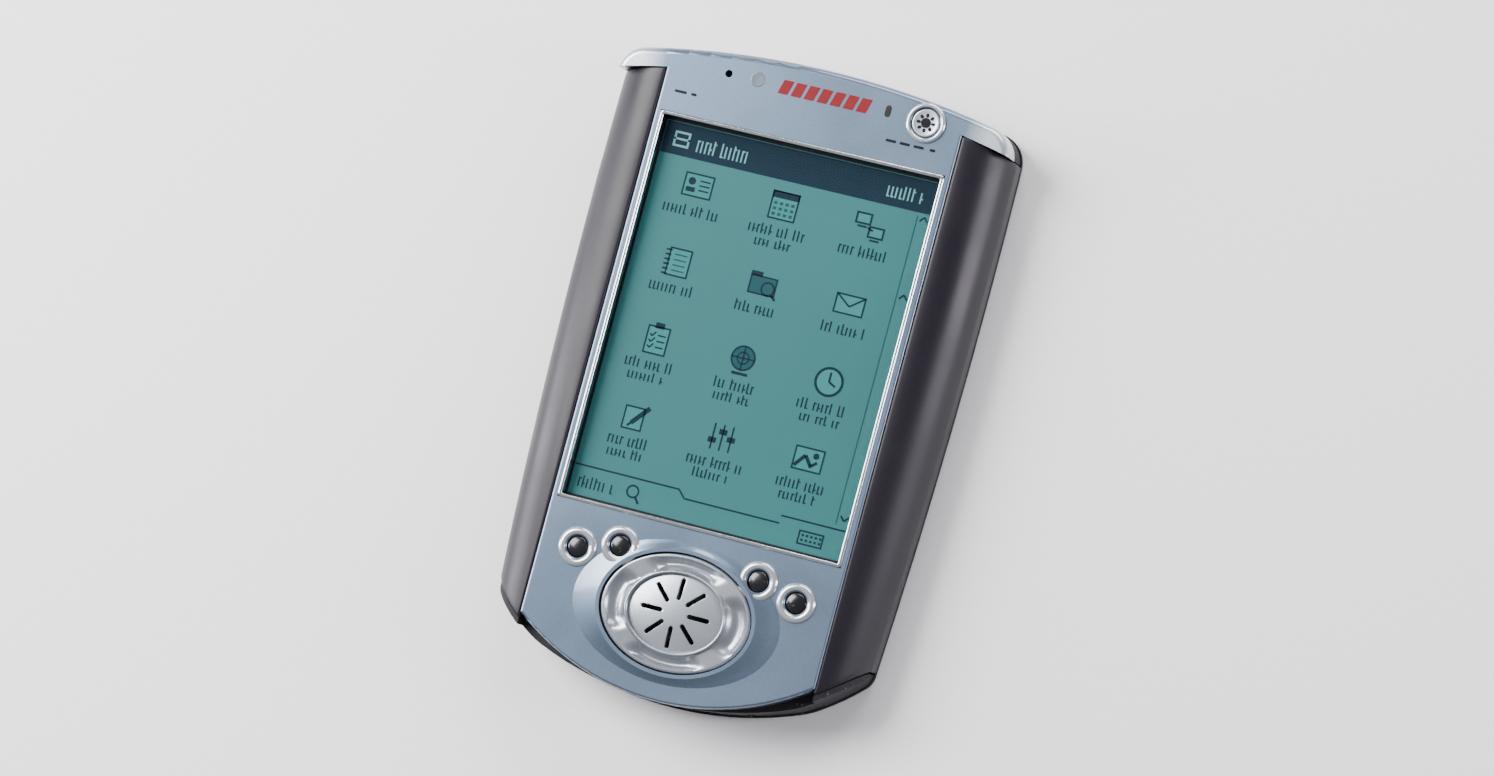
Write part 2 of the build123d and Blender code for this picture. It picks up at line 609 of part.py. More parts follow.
def expansion_connector():
    """Long connector in the back that an expansion sleeve plugs on to."""
    body = block(-23.0, 23.0, -45.0, -39.0, 0.5, BOARD_Z[0])
    slot = block(-21.6, 21.6, -43.9, -40.1, -1, 4.0)
    return body - slot + block(-21.0, 21.0, -42.5, -41.5, 1.3, 4.2)


def battery_parts():
    """Lithium-polymer cell, the foam tape under it and its lead to the board."""
    lead = block(-27.2, -26.2, 20, 24, 4.6, 5.4) + block(-28.2, -27.2, 20, 24, 4.6, BOARD_Z[0])
    cell = rounded(block(-26.2, 24.0, -30.0, 32.0, 1.9, 5.9), Axis.Z, 5.9, 0.6)
    return {"battery": cell, "battery_tape": block(-22, 20, -26, 28, FLOOR_T, 1.9), "battery_lead": lead}


def case_screws():
    """Four screws from the back into the posts of the front bezel."""
    screws = []
    for x, y in SCREWS:
        head = rod_z(x, y, 1.55, 0.2, 1.0) - block(x - 1, x + 1, y - 0.15, y + 0.15, 0, 0.5)
        head -= block(x - 0.15, x + 0.15, y - 1, y + 1, 0, 0.5)
        screws.append(head + rod_z(x, y, 0.85, 1.0, 12.0))
    return Compound(children=screws)


# ------------------------------------------------------------------ the whole object
def all_parts():
    """Every node of the object by name."""
    parts = {
        "front_bezel": front_bezel(),
        "rear_housing": rear_housing(),
        "side_grip_right": side_grip(),
        "side_grip_left": left_grip(),
        "display_frame": display_frame(),
        "lcd_flex": lcd_flex(),
        "touch_flex": touch_flex(),
        "nav_pad": nav_pad(),
        "speaker_grille": speaker_grille(),
        "nav_guide_ring": nav_guide_ring(),
        "nav_pivot_ring": nav_pivot_ring(),
        "power_button": power_button(),
        "record_button": record_button(),
        "reset_button": reset_button(),
        "stylus_latch": stylus_latch(),
        "latch_spring": latch_spring(),
        "main_board": main_board(),
        "key_board": key_board(),
        "key_mat": key_mat(),
        "key_board_stands": key_board_stands(),
        "microphone_boot": mic_boot(),
        "ir_window": ir_window(),
        "headphone_jack": headphone_jack(),
        "dock_connector": dock_connector(),
        "dc_jack": dc_jack(),
        "expansion_connector": expansion_connector(),
        "case_screws": case_screws(),
    }
    for number, (x, y) in enumerate(APP_KEYS, start=1):
        parts[f"app_button_{number}"] = app_button(x, y)
    for group in (display_parts, stylus_parts, board_parts, light_pipes, battery_parts):
        parts.update(group())
    return parts


os.makedirs("parts", exist_ok=True)
for name, shape in all_parts().items():
    export_step(shape, f"parts/{name}.step")
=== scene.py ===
"""Looks for a handheld personal digital assistant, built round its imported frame.

The object lies on its back: +X right, +Y to the top end, +Z out of the screen. Lengths are in metres.
"""

import json
import math
import random

import bmesh
import bpy
from mathutils import Matrix, Vector


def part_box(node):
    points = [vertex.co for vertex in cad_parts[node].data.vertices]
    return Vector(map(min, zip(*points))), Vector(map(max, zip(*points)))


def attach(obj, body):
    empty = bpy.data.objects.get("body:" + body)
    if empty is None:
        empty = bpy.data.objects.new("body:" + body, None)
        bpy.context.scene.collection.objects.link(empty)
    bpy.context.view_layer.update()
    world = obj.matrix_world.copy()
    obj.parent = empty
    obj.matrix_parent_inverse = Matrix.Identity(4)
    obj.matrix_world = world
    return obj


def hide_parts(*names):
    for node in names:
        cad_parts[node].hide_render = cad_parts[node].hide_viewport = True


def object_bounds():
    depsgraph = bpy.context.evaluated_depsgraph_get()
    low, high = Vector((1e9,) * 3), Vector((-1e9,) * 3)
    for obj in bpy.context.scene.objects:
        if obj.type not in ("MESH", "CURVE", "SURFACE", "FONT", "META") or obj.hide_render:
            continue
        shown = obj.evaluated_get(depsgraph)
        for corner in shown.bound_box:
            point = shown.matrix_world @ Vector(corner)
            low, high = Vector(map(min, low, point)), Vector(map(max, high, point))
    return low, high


bl_info = {
    "name": "Handheld Assistant Looks",
    "version": (1, 0, 0),
    "blender": (4, 5, 0),
    "location": "View3D > Sidebar > Handheld",
    "description": "Builds the shells, keys, screen picture and finishes of a handheld assistant",
    "category": "Object",
}

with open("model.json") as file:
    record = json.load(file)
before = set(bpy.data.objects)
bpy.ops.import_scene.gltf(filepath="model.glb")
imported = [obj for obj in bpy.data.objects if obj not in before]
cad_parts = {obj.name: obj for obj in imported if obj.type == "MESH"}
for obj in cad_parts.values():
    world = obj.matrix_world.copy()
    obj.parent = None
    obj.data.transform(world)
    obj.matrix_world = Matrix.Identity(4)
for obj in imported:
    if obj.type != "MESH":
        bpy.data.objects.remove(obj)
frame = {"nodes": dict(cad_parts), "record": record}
CAD_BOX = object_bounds()
MM = 0.001


# ---------------------------------------------------------------- places read from the frame
def middle(node):
    """Middle of a node's box at rest."""
    low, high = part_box(node)
    return (low + high) / 2


def span(node):
    """Size of a node's box at rest."""
    low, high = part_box(node)
    return high - low


WINDOW_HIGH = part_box("display_frame")[1]
PANEL_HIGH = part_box("lcd_panel")[1]
GRIP_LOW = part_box("side_grip_right")[0]
NAV = middle("nav_guide_ring")
FACE_Z = WINDOW_HIGH.z - 0.25 * MM
APP_KEYS = ("app_button_1", "app_button_2", "app_button_3", "app_button_4")


# ---------------------------------------------------------------- sizes and colours a user may change
class ShellSettings(bpy.types.PropertyGroup):
    """Colours of the outer shells."""

    silver: bpy.props.FloatVectorProperty(
        name="Silver lacquer", description="Blue-grey metallic lacquer of the face",
        subtype="COLOR", size=4, default=(0.088, 0.124, 0.175, 1.0))
    bright: bpy.props.FloatVectorProperty(
        name="Bright lacquer", description="Paler lacquer of the navigation pad and speaker disc",
        subtype="COLOR", size=4, default=(0.25, 0.27, 0.30, 1.0))
    grip: bpy.props.FloatVectorProperty(
        name="Grip coating", description="Plum-black soft coating of the side grips",
        subtype="COLOR", size=4, default=(0.0060, 0.0048, 0.0085, 1.0))
    housing: bpy.props.FloatVectorProperty(
        name="Rear housing", description="Textured plastic of the back",
        subtype="COLOR", size=4, default=(0.0075, 0.0070, 0.0095, 1.0))


class ScreenSettings(bpy.types.PropertyGroup):
    """The picture on the reflective display."""

    dot: bpy.props.FloatProperty(
        name="Dot pitch", description="Distance from one display dot to the next",
        subtype="DISTANCE", unit="LENGTH", default=0.24 * MM, precision=6)
    columns: bpy.props.IntProperty(name="Columns", description="Dots across the display", default=240)
    rows: bpy.props.IntProperty(name="Rows", description="Dots down the display", default=320)
    ground: bpy.props.FloatVectorProperty(
        name="Ground", description="Colour of the display where no dot is dark",
        subtype="COLOR", size=4, default=(0.011, 0.098, 0.100, 1.0))
    ink: bpy.props.FloatVectorProperty(
        name="Ink", description="Colour of a fully dark dot",
        subtype="COLOR", size=4, default=(0.003, 0.012, 0.022, 1.0))


class StageSettings(bpy.types.PropertyGroup):
    """Camera and light."""

    yaw: bpy.props.FloatProperty(
        name="Yaw", description="How far the camera stands to the right of straight above",
        subtype="ANGLE", default=math.radians(16.0))
    pitch: bpy.props.FloatProperty(
        name="Pitch", description="How far the camera stands towards the bottom end",
        subtype="ANGLE", default=math.radians(3.5))
    roll: bpy.props.FloatProperty(
        name="Roll", description="How far the object leans clockwise in the view",
        subtype="ANGLE", default=math.radians(15.0))
    distance: bpy.props.FloatProperty(
        name="Distance", description="Camera distance", subtype="DISTANCE", unit="LENGTH", default=1.12)
    lens: bpy.props.FloatProperty(name="Lens", description="Focal length in millimetres", default=136.0)
    key_power: bpy.props.FloatProperty(
        name="Key light", description="Power of the key light", subtype="POWER", default=15.0)


# ---------------------------------------------------------------- mesh helpers
def mesh_object(name, mesh, smooth=True):
    """A linked object for a finished mesh."""
    piece = bpy.data.objects.new(name, mesh)
    bpy.context.scene.collection.objects.link(piece)
    if smooth:
        mesh.shade_smooth()
    return piece


def loft_rings(name, rings, cap_first=True, cap_last=True):
    """A closed skin through rings of equally many points."""
    sheet = bmesh.new()
    rows = [[sheet.verts.new(point) for point in ring] for ring in rings]
    count = len(rows[0])
    for lower, upper in zip(rows, rows[1:]):
        for i in range(count):
            j = (i + 1) % count
            sheet.faces.new((lower[i], lower[j], upper[j], upper[i]))
    if cap_first:
        sheet.faces.new(list(reversed(rows[0])))
    if cap_last:
        sheet.faces.new(rows[-1])
    bmesh.ops.recalc_face_normals(sheet, faces=sheet.faces)
    mesh = bpy.data.meshes.new(name)
    sheet.to_mesh(mesh)
    sheet.free()
    return mesh_object(name, mesh)


def oval_ring(centre, rx, ry, z, count=128, lift=None):
    """Points round an ellipse; lift adds a height that depends on the angle."""
    ring = []
    for i in range(count):
        turn = 2 * math.pi * i / count
        height = z + (lift(turn) if lift else 0.0)
        ring.append(Vector((centre.x + rx * math.cos(turn), centre.y + ry * math.sin(turn), height)))
    return ring


AXIS = 0.01    # radius in millimetres at which a turned piece is closed


def lathe(name, centre, profile, count):
    """A turned piece about an upright axis from (radius, height) pairs in millimetres."""
    rings = [oval_ring(centre, r * MM, r * MM, z * MM, count) for r, z in profile]
    return loft_rings(name, rings)


def round_over(radius, height, edge, steps=6):
    """Profile points that turn a top edge over, from the side up on to the top, in millimetres."""
    points = []
    for i in range(steps + 1):
        turn = math.pi / 2 * i / steps
        points.append((radius - edge + edge * math.cos(turn), height - edge + edge * math.sin(turn)))
    return points


def plate(name, outlines, z0, z1):
    """A flat plate between two heights from closed outlines; an outline inside another is a hole."""
    curve = bpy.data.curves.new(name, "CURVE")
    curve.dimensions = "2D"
    curve.fill_mode = "BOTH"
    curve.extrude = (z1 - z0) / 2
    for outline in outlines:
        spline = curve.splines.new("POLY")
        spline.points.add(len(outline) - 1)
        for point, (x, y) in zip(spline.points, outline):
            point.co = (x, y, 0.0, 1.0)
        spline.use_cyclic_u = True
    source = bpy.data.objects.new(name + "_outline", curve)
    bpy.context.scene.collection.objects.link(source)
    graph = bpy.context.evaluated_depsgraph_get()
    mesh = bpy.data.meshes.new_from_object(source.evaluated_get(graph))
    bpy.data.objects.remove(source)
    bpy.data.curves.remove(curve)
    for vertex in mesh.vertices:
        vertex.co.z += (z0 + z1) / 2
    piece = mesh_object(name, mesh, smooth=False)
    smooth_by_angle(piece)
    return piece


def smooth_by_angle(piece, angle=35.0):
    """Smooth shading that keeps real corners sharp."""
    mesh = piece.data
    mesh.shade_smooth()
    mesh.set_sharp_from_angle(angle=math.radians(angle))


def apply_modifiers(piece):
    """The piece with its modifiers made part of its mesh."""
    graph = bpy.context.evaluated_depsgraph_get()
    mesh = bpy.data.meshes.new_from_object(piece.evaluated_get(graph))
    piece.modifiers.clear()
    piece.data = mesh
    return piece


def soften_rims(piece, width, segments, angle):
    """Rounds every edge sharper than an angle and makes it part of the mesh."""
    rims = piece.modifiers.new("rims", "BEVEL")
    rims.width = width
    rims.segments = segments
    rims.limit_method = "ANGLE"
    rims.angle_limit = math.radians(angle)
    apply_modifiers(piece)


def subtract(piece, cutters):
    """Cuts each cutter out of the piece and removes the cutters."""
    for cutter in cutters:
        step = piece.modifiers.new("cut", "BOOLEAN")
        step.operation = "DIFFERENCE"
        step.solver = "EXACT"
        step.object = cutter
    apply_modifiers(piece)
    for cutter in cutters:
        bpy.data.objects.remove(cutter)
    return piece


def slot_outline(centre, length, width, turn=0.0, steps=8):
    """Outline of a round-ended slot whose middle line runs along turn."""
    half = (length - width) / 2
    points = []
    for end in (0, 1):
        for i in range(steps + 1):
            angle = end * math.pi - math.pi / 2 + math.pi * i / steps
            x = (half if end == 0 else -half) + width / 2 * math.cos(angle)
            y = width / 2 * math.sin(angle)
            points.append((centre[0] + x * math.cos(turn) - y * math.sin(turn),
                           centre[1] + x * math.sin(turn) + y * math.cos(turn)))
    return points


def finish_piece(piece, body, material):
    """Gives a new piece its body and its material."""
    piece.data.materials.clear()
    piece.data.materials.append(material)
    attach(piece, body)
    return piece


# ---------------------------------------------------------------- shader helpers
def add(tree, kind, **values):
    """A node with some of its properties set."""
    node = tree.nodes.new(kind)
    for key, value in values.items():
        setattr(node, key, value)
    return node


def wire(tree, source, target):
    """Joins an output socket to an input socket."""
    tree.links.new(source, target)


def sum_of(tree, operation, first, second):
    """A math node; each input is a socket or a number."""
    node = add(tree, "ShaderNodeMath", operation=operation)
    for socket, value in zip(node.inputs, (first, second)):
        if isinstance(value, (int, float)):
            socket.default_value = value
        else:
            wire(tree, value, socket)
    return node.outputs[0]


def blend_colours(tree, factor, first, second, mode="MIX"):
    """A colour mix; each input is a socket or a plain value."""
    node = add(tree, "ShaderNodeMix", data_type="RGBA", blend_type=mode)
    for socket, value in ((node.inputs[0], factor), (node.inputs[6], first), (node.inputs[7], second)):
        if isinstance(value, bpy.types.NodeSocket):
            wire(tree, value, socket)
        else:
            socket.default_value = value
    return node.outputs[2]


def ramp_between(tree, value, low, high):
    """A value stretched so that low becomes 0 and high becomes 1, held between them."""
    node = add(tree, "ShaderNodeMapRange")
    wire(tree, value, node.inputs["Value"])
    node.inputs["From Min"].default_value = low
    node.inputs["From Max"].default_value = high
    return node.outputs[0]


def new_group(name, inputs, outputs):
    """A shader node group with named sockets, as (tree, inputs node, outputs node)."""
    group = bpy.data.node_groups.new(name, "ShaderNodeTree")
    for label, kind, value in inputs:
        group.interface.new_socket(label, in_out="INPUT", socket_type=kind).default_value = value
    for label, kind in outputs:
        group.interface.new_socket(label, in_out="OUTPUT", socket_type=kind)
    return group, group.nodes.new("NodeGroupInput"), group.nodes.new("NodeGroupOutput")


def grain_group():
    """Moulded grain: a fine pebbled height and a speckle of the same size."""
    group, given, result = new_group(
        "Moulded grain",
        [("Scale", "NodeSocketFloat", 3000.0), ("Roundness", "NodeSocketFloat", 0.5)],
        [("Height", "NodeSocketFloat"), ("Speckle", "NodeSocketFloat")])
    place = add(group, "ShaderNodeTexCoord").outputs["Object"]
    pebbles = add(group, "ShaderNodeTexVoronoi", feature="SMOOTH_F1")
    noise = add(group, "ShaderNodeTexNoise")
    noise.inputs["Detail"].default_value = 3.0
    for texture in (pebbles, noise):
        wire(group, place, texture.inputs["Vector"])
        wire(group, given.outputs["Scale"], texture.inputs["Scale"])
    bumps = sum_of(group, "MULTIPLY", pebbles.outputs["Distance"], given.outputs["Roundness"])
    height = sum_of(group, "ADD", bumps, noise.outputs["Fac"])
    wire(group, height, result.inputs["Height"])
    wire(group, ramp_between(group, noise.outputs["Fac"], 0.35, 0.65), result.inputs["Speckle"])
    return group


def flake_group():
    """Metallic flake: tiny flat chips, each a little lighter or darker than the lacquer."""
    group, given, result = new_group(
        "Metallic flake",
        [("Base", "NodeSocketColor", (0.5, 0.5, 0.5, 1)), ("Flake", "NodeSocketColor", (0.8, 0.8, 0.8, 1)),
         ("Scale", "NodeSocketFloat", 9000.0), ("Amount", "NodeSocketFloat", 0.3)],
        [("Color", "NodeSocketColor"), ("Height", "NodeSocketFloat")])
    place = add(group, "ShaderNodeTexCoord").outputs["Object"]
    chips = add(group, "ShaderNodeTexVoronoi")
    wire(group, place, chips.inputs["Vector"])
    wire(group, given.outputs["Scale"], chips.inputs["Scale"])
    tone = add(group, "ShaderNodeSeparateColor")
    wire(group, chips.outputs["Color"], tone.inputs[0])
    share = sum_of(group, "MULTIPLY", tone.outputs[0], given.outputs["Amount"])
    mixed = blend_colours(group, share, given.outputs["Base"], given.outputs["Flake"])
    wire(group, mixed, result.inputs["Color"])
    wire(group, tone.outputs[1], result.inputs["Height"])
    return group


def handling_group():
    """Handling: broad soft smudges with a few fine hairline scratches, from 0 to 1."""
    group, given, result = new_group(
        "Handling",
        [("Scale", "NodeSocketFloat", 45.0), ("Scratches", "NodeSocketFloat", 0.5)],
        [("Smudge", "NodeSocketFloat"), ("Scratch", "NodeSocketFloat")])
    place = add(group, "ShaderNodeTexCoord").outputs["Object"]
    smudge = add(group, "ShaderNodeTexNoise")
    smudge.inputs["Detail"].default_value = 4.0
    smudge.inputs["Distortion"].default_value = 0.6
    wire(group, place, smudge.inputs["Vector"])
    wire(group, given.outputs["Scale"], smudge.inputs["Scale"])
    wire(group, ramp_between(group, smudge.outputs["Fac"], 0.35, 0.7), result.inputs["Smudge"])
    stretch = add(group, "ShaderNodeMapping")
    stretch.inputs["Rotation"].default_value = (0.0, 0.0, math.radians(33))
    stretch.inputs["Scale"].default_value = (2600.0, 60.0, 60.0)
    wire(group, place, stretch.inputs["Vector"])
    lines = add(group, "ShaderNodeTexNoise")
    lines.inputs["Scale"].default_value = 1.0
    wire(group, stretch.outputs[0], lines.inputs["Vector"])
    hair = ramp_between(group, lines.outputs["Fac"], 0.70, 0.78)
    wire(group, sum_of(group, "MULTIPLY", hair, given.outputs["Scratches"]), result.inputs["Scratch"])
    return group


def dust_group():
    """Dust: pale specks that gather on what faces up."""
    group, given, result = new_group(
        "Dust",
        [("Scale", "NodeSocketFloat", 1800.0), ("Amount", "NodeSocketFloat", 0.4)],
        [("Mask", "NodeSocketFloat")])
    place = add(group, "ShaderNodeTexCoord").outputs["Object"]
    specks = add(group, "ShaderNodeTexNoise")
    wire(group, place, specks.inputs["Vector"])
    wire(group, given.outputs["Scale"], specks.inputs["Scale"])
    facing = add(group, "ShaderNodeSeparateXYZ")
    wire(group, add(group, "ShaderNodeNewGeometry").outputs["Normal"], facing.inputs[0])
    dots = ramp_between(group, specks.outputs["Fac"], 0.66, 0.74)
    upward = ramp_between(group, facing.outputs["Z"], 0.2, 1.0)
    mask = sum_of(group, "MULTIPLY", dots, upward)
    wire(group, sum_of(group, "MULTIPLY", mask, given.outputs["Amount"]), result.inputs["Mask"])
    return group


GROUPS = {}


def effect(tree, name, **values):
    """One of the shared groups placed in a material, with its own values."""
    makers = {"grain": grain_group, "flake": flake_group, "handling": handling_group, "dust": dust_group}
    if name not in GROUPS:
        GROUPS[name] = makers[name]()
    node = add(tree, "ShaderNodeGroup", node_tree=GROUPS[name])
    for label, value in values.items():
        node.inputs[label].default_value = value
    return node


class Finish:
    """A material in the making: its tree, its shader and short ways to feed it."""

    def __init__(self, name, **plain):
        self.material = bpy.data.materials.new(name)
        self.material.use_nodes = True
        self.tree = self.material.node_tree
        self.shader = self.tree.nodes["Principled BSDF"]
        for label, value in plain.items():
            self.shader.inputs[label.replace("_", " ")].default_value = value

    def feed(self, label, source):
        """Joins a source to one of the shader's sockets."""
        wire(self.tree, source, self.shader.inputs[label])

    def roughness(self, value, low, high):
        """Roughness that follows a 0 to 1 value."""
        node = add(self.tree, "ShaderNodeMapRange")
        wire(self.tree, value, node.inputs["Value"])
        node.inputs["To Min"].default_value = low
        node.inputs["To Max"].default_value = high
        self.feed("Roughness", node.outputs[0])

    def bump(self, height, strength, depth):
        """Surface relief from a height."""
        node = add(self.tree, "ShaderNodeBump")
        node.inputs["Strength"].default_value = strength
        node.inputs["Distance"].default_value = depth
        wire(self.tree, height, node.inputs["Height"])
        self.feed("Normal", node.outputs[0])

    def tinted(self, colour, factor, other, dust=0.0):
        """Base colour between two colours, with dust laid on it."""
        mixed = blend_colours(self.tree, factor, colour, other)
        if dust:
            mask = effect(self.tree, "dust", Amount=dust).outputs["Mask"]
            mixed = blend_colours(self.tree, mask, mixed, (0.55, 0.54, 0.52, 1.0))
        self.feed("Base Color", mixed)


# ---------------------------------------------------------------- finishes
def shaded(colour, factor):
    """A colour made lighter or darker."""
    return (colour[0] * factor, colour[1] * factor, colour[2] * factor, 1.0)


def lacquer(name, colour, smooth=0.30, metal=0.75, amount=0.35, coat=0.35, painted_end_highlight=False):
    """Metallic lacquer over moulded plastic: flake, faint orange peel and smudges.

    The last argument paints a highlight into the base colour beyond the silver face on either side: the two
    ends of the cap are made paler to stand in for the glint on their rolled-over corners.
    """
    finish = Finish(name, Metallic=metal, Coat_Weight=coat, Coat_Roughness=0.10)
    flake = effect(finish.tree, "flake", Base=tuple(colour), Flake=shaded(colour, 1.7), Amount=amount)
    smudge = effect(finish.tree, "handling", Scratches=0.6)
    scratched = smudge.outputs["Scratch"]
    marked = blend_colours(finish.tree, scratched, flake.outputs["Color"], shaded(colour, 1.5))
    if painted_end_highlight:
        # Painted highlight: the base colour turns paler past the silver face on both sides, standing in for
        # the glint on the cap's rolled-over ends.
        axes = add(finish.tree, "ShaderNodeSeparateXYZ")
        wire(finish.tree, add(finish.tree, "ShaderNodeTexCoord").outputs["Object"], axes.inputs[0])
        aside = sum_of(finish.tree, "ABSOLUTE", axes.outputs["X"], 0.0)
        ends = ramp_between(finish.tree, aside, 31.6 * MM, 36.5 * MM)
        marked = blend_colours(finish.tree, ends, marked, (0.42, 0.45, 0.49, 1.0))
    finish.feed("Base Color", marked)
    finish.roughness(smudge.outputs["Smudge"], smooth, smooth + 0.09)
    peel = effect(finish.tree, "grain", Scale=1400.0, Roundness=0.2)
    finish.bump(peel.outputs["Height"], 0.05, 0.02 * MM)
    return finish.material


def moulded(name, colour, rough=0.5, grain=2600.0, depth=0.03, shine=0.5, dust=0.25, strength=0.35):
    """Moulded plastic with a pebbled grain, colour speckle and a little dust."""
    finish = Finish(name, Specular_IOR_Level=shine)
    pebble = effect(finish.tree, "grain", Scale=grain, Roundness=0.8)
    smudge = effect(finish.tree, "handling", Scale=60.0, Scratches=0.3)
    finish.tinted(tuple(colour), pebble.outputs["Speckle"], shaded(colour, 1.35), dust)
    finish.roughness(smudge.outputs["Smudge"], rough, min(rough + 0.14, 1.0))
    finish.bump(pebble.outputs["Height"], strength, depth * MM)
    return finish.material


def soft_touch(colour):
    """Soft-touch coating: even fine grain, a velvety sheen and paler worn scratches."""
    finish = Finish("soft_touch_coating", Sheen_Weight=0.02, Sheen_Roughness=0.45, Specular_IOR_Level=0.28)
    pebble = effect(finish.tree, "grain", Scale=5200.0, Roundness=0.6)
    smudge = effect(finish.tree, "handling", Scale=38.0, Scratches=0.8)
    worn = blend_colours(finish.tree, smudge.outputs["Scratch"], tuple(colour), shaded(colour, 2.6))
    mixed = blend_colours(finish.tree, pebble.outputs["Speckle"], worn, shaded(colour, 1.5))
    finish.feed("Base Color", mixed)
    finish.roughness(smudge.outputs["Smudge"], 0.33, 0.44)
    finish.bump(pebble.outputs["Height"], 0.22, 0.02 * MM)
    return finish.material


def metal(name, colour, rough=0.3, brush=(60.0, 5000.0, 5000.0), strength=0.12):
    """Metal with a brushed or rolled surface."""
    finish = Finish(name, Metallic=1.0)
    place = add(finish.tree, "ShaderNodeTexCoord").outputs["Object"]
    stretch = add(finish.tree, "ShaderNodeMapping")
    stretch.inputs["Scale"].default_value = brush
    wire(finish.tree, place, stretch.inputs["Vector"])
    streaks = add(finish.tree, "ShaderNodeTexNoise")
    streaks.inputs["Scale"].default_value = 1.0
    wire(finish.tree, stretch.outputs[0], streaks.inputs["Vector"])
    finish.tinted(tuple(colour), streaks.outputs["Fac"], shaded(colour, 0.72), 0.1)
    finish.roughness(streaks.outputs["Fac"], rough * 0.8, rough * 1.25)
    finish.bump(streaks.outputs["Fac"], strength, 0.01 * MM)
    return finish.material


def gloss(name, colour, rough=0.10, dust=0.5, coat=0.5):
    """Polished moulded plastic with faint smudges."""
    finish = Finish(name, Coat_Weight=coat, Coat_Roughness=0.05)
    smudge = effect(finish.tree, "handling", Scale=180.0, Scratches=0.5)
    finish.tinted(tuple(colour), smudge.outputs["Smudge"], shaded(colour, 1.6), dust)
    finish.roughness(smudge.outputs["Smudge"], rough, rough + 0.12)
    peel = effect(finish.tree, "grain", Scale=900.0, Roundness=0.1)
    finish.bump(peel.outputs["Height"], 0.03, 0.02 * MM)
    return finish.material


def circuit_board():
    """Solder-masked board with copper traces showing faintly through and bare pads."""
    finish = Finish("circuit_board_mask", Coat_Weight=0.4, Coat_Roughness=0.15)
    place = add(finish.tree, "ShaderNodeTexCoord").outputs["Object"]
    traces = add(finish.tree, "ShaderNodeTexBrick")
    traces.inputs["Scale"].default_value = 420.0
    traces.inputs["Mortar Size"].default_value = 0.04
    wire(finish.tree, place, traces.inputs["Vector"])
    finish.tinted((0.012, 0.085, 0.035, 1.0), traces.outputs["Fac"], (0.03, 0.17, 0.07, 1.0), 0.3)
    smudge = effect(finish.tree, "handling", Scale=90.0)
    finish.roughness(smudge.outputs["Smudge"], 0.25, 0.4)
    finish.bump(traces.outputs["Fac"], 0.3, 0.02 * MM)
    return finish.material


def clear_touch():
    """Resistive touch panel: a clear film with a faint pale haze and fingerprints."""
    finish = Finish("touch_film", Base_Color=(0.05, 0.09, 0.10, 1.0), Coat_Weight=0.3, Coat_Roughness=0.08)
    smudge = effect(finish.tree, "handling", Scale=70.0, Scratches=0.3)
    haze = add(finish.tree, "ShaderNodeMapRange")
    haze.inputs["To Min"].default_value = 0.020
    haze.inputs["To Max"].default_value = 0.034
    wire(finish.tree, smudge.outputs["Smudge"], haze.inputs["Value"])
    finish.feed("Alpha", haze.outputs[0])
    finish.roughness(smudge.outputs["Smudge"], 0.10, 0.22)
    return finish.material


def display_ground(colour, dot):
    """Reflective display: a teal ground crossed by the faint lines between its dots."""
    finish = Finish("display_ground", Specular_IOR_Level=0.25)
    place = add(finish.tree, "ShaderNodeTexCoord").outputs["Object"]
    axes = add(finish.tree, "ShaderNodeSeparateXYZ")
    wire(finish.tree, place, axes.inputs[0])
    lines = []
    for label in ("X", "Y"):
        phase = sum_of(finish.tree, "FRACT", sum_of(finish.tree, "DIVIDE", axes.outputs[label], dot), 0.0)
        lines.append(sum_of(finish.tree, "LESS_THAN", phase, 0.16))
    grid = sum_of(finish.tree, "MAXIMUM", lines[0], lines[1])
    cloud = add(finish.tree, "ShaderNodeTexNoise")
    cloud.inputs["Scale"].default_value = 28.0
    wire(finish.tree, place, cloud.inputs["Vector"])
    patchy = blend_colours(finish.tree, ramp_between(finish.tree, cloud.outputs["Fac"], 0.3, 0.7),
                           tuple(colour), shaded(colour, 1.10))
    share = sum_of(finish.tree, "MULTIPLY", grid, 0.35)
    finish.feed("Base Color", blend_colours(finish.tree, share, patchy, shaded(colour, 0.8)))
    finish.roughness(cloud.outputs["Fac"], 0.5, 0.6)
    return finish.material


def display_ink(name, colour):
    """Dark or pale dots of the display, with a slight unevenness."""
    finish = Finish(name, Specular_IOR_Level=0.05)
    cloud = add(finish.tree, "ShaderNodeTexNoise")
    cloud.inputs["Scale"].default_value = 900.0
    wire(finish.tree, add(finish.tree, "ShaderNodeTexCoord").outputs["Object"], cloud.inputs["Vector"])
    finish.tinted(tuple(colour), cloud.outputs["Fac"], shaded(colour, 1.3))
    finish.roughness(cloud.outputs["Fac"], 0.45, 0.6)
    return finish.material


def smoke_lens(name, colour):
    """Tinted clear plastic with a polished face."""
    finish = Finish(name, Coat_Weight=0.8, Coat_Roughness=0.03, Transmission_Weight=0.35, IOR=1.49)
    smudge = effect(finish.tree, "handling", Scale=200.0)
    finish.tinted(tuple(colour), smudge.outputs["Smudge"], shaded(colour, 1.5))
    finish.roughness(smudge.outputs["Smudge"], 0.06, 0.16)
    return finish.material


def speaker_cone():
    """Black woven dust cloth over the speaker."""
    finish = Finish("speaker_cloth", Sheen_Weight=0.2)
    place = add(finish.tree, "ShaderNodeTexCoord").outputs["Object"]
    weave = add(finish.tree, "ShaderNodeTexChecker")
    weave.inputs["Scale"].default_value = 3500.0
    wire(finish.tree, place, weave.inputs["Vector"])
    finish.tinted((0.012, 0.012, 0.014, 1.0), weave.outputs["Fac"], (0.035, 0.035, 0.04, 1.0))
    finish.roughness(weave.outputs["Fac"], 0.75, 0.9)
    finish.bump(weave.outputs["Fac"], 0.5, 0.03 * MM)
    return finish.material


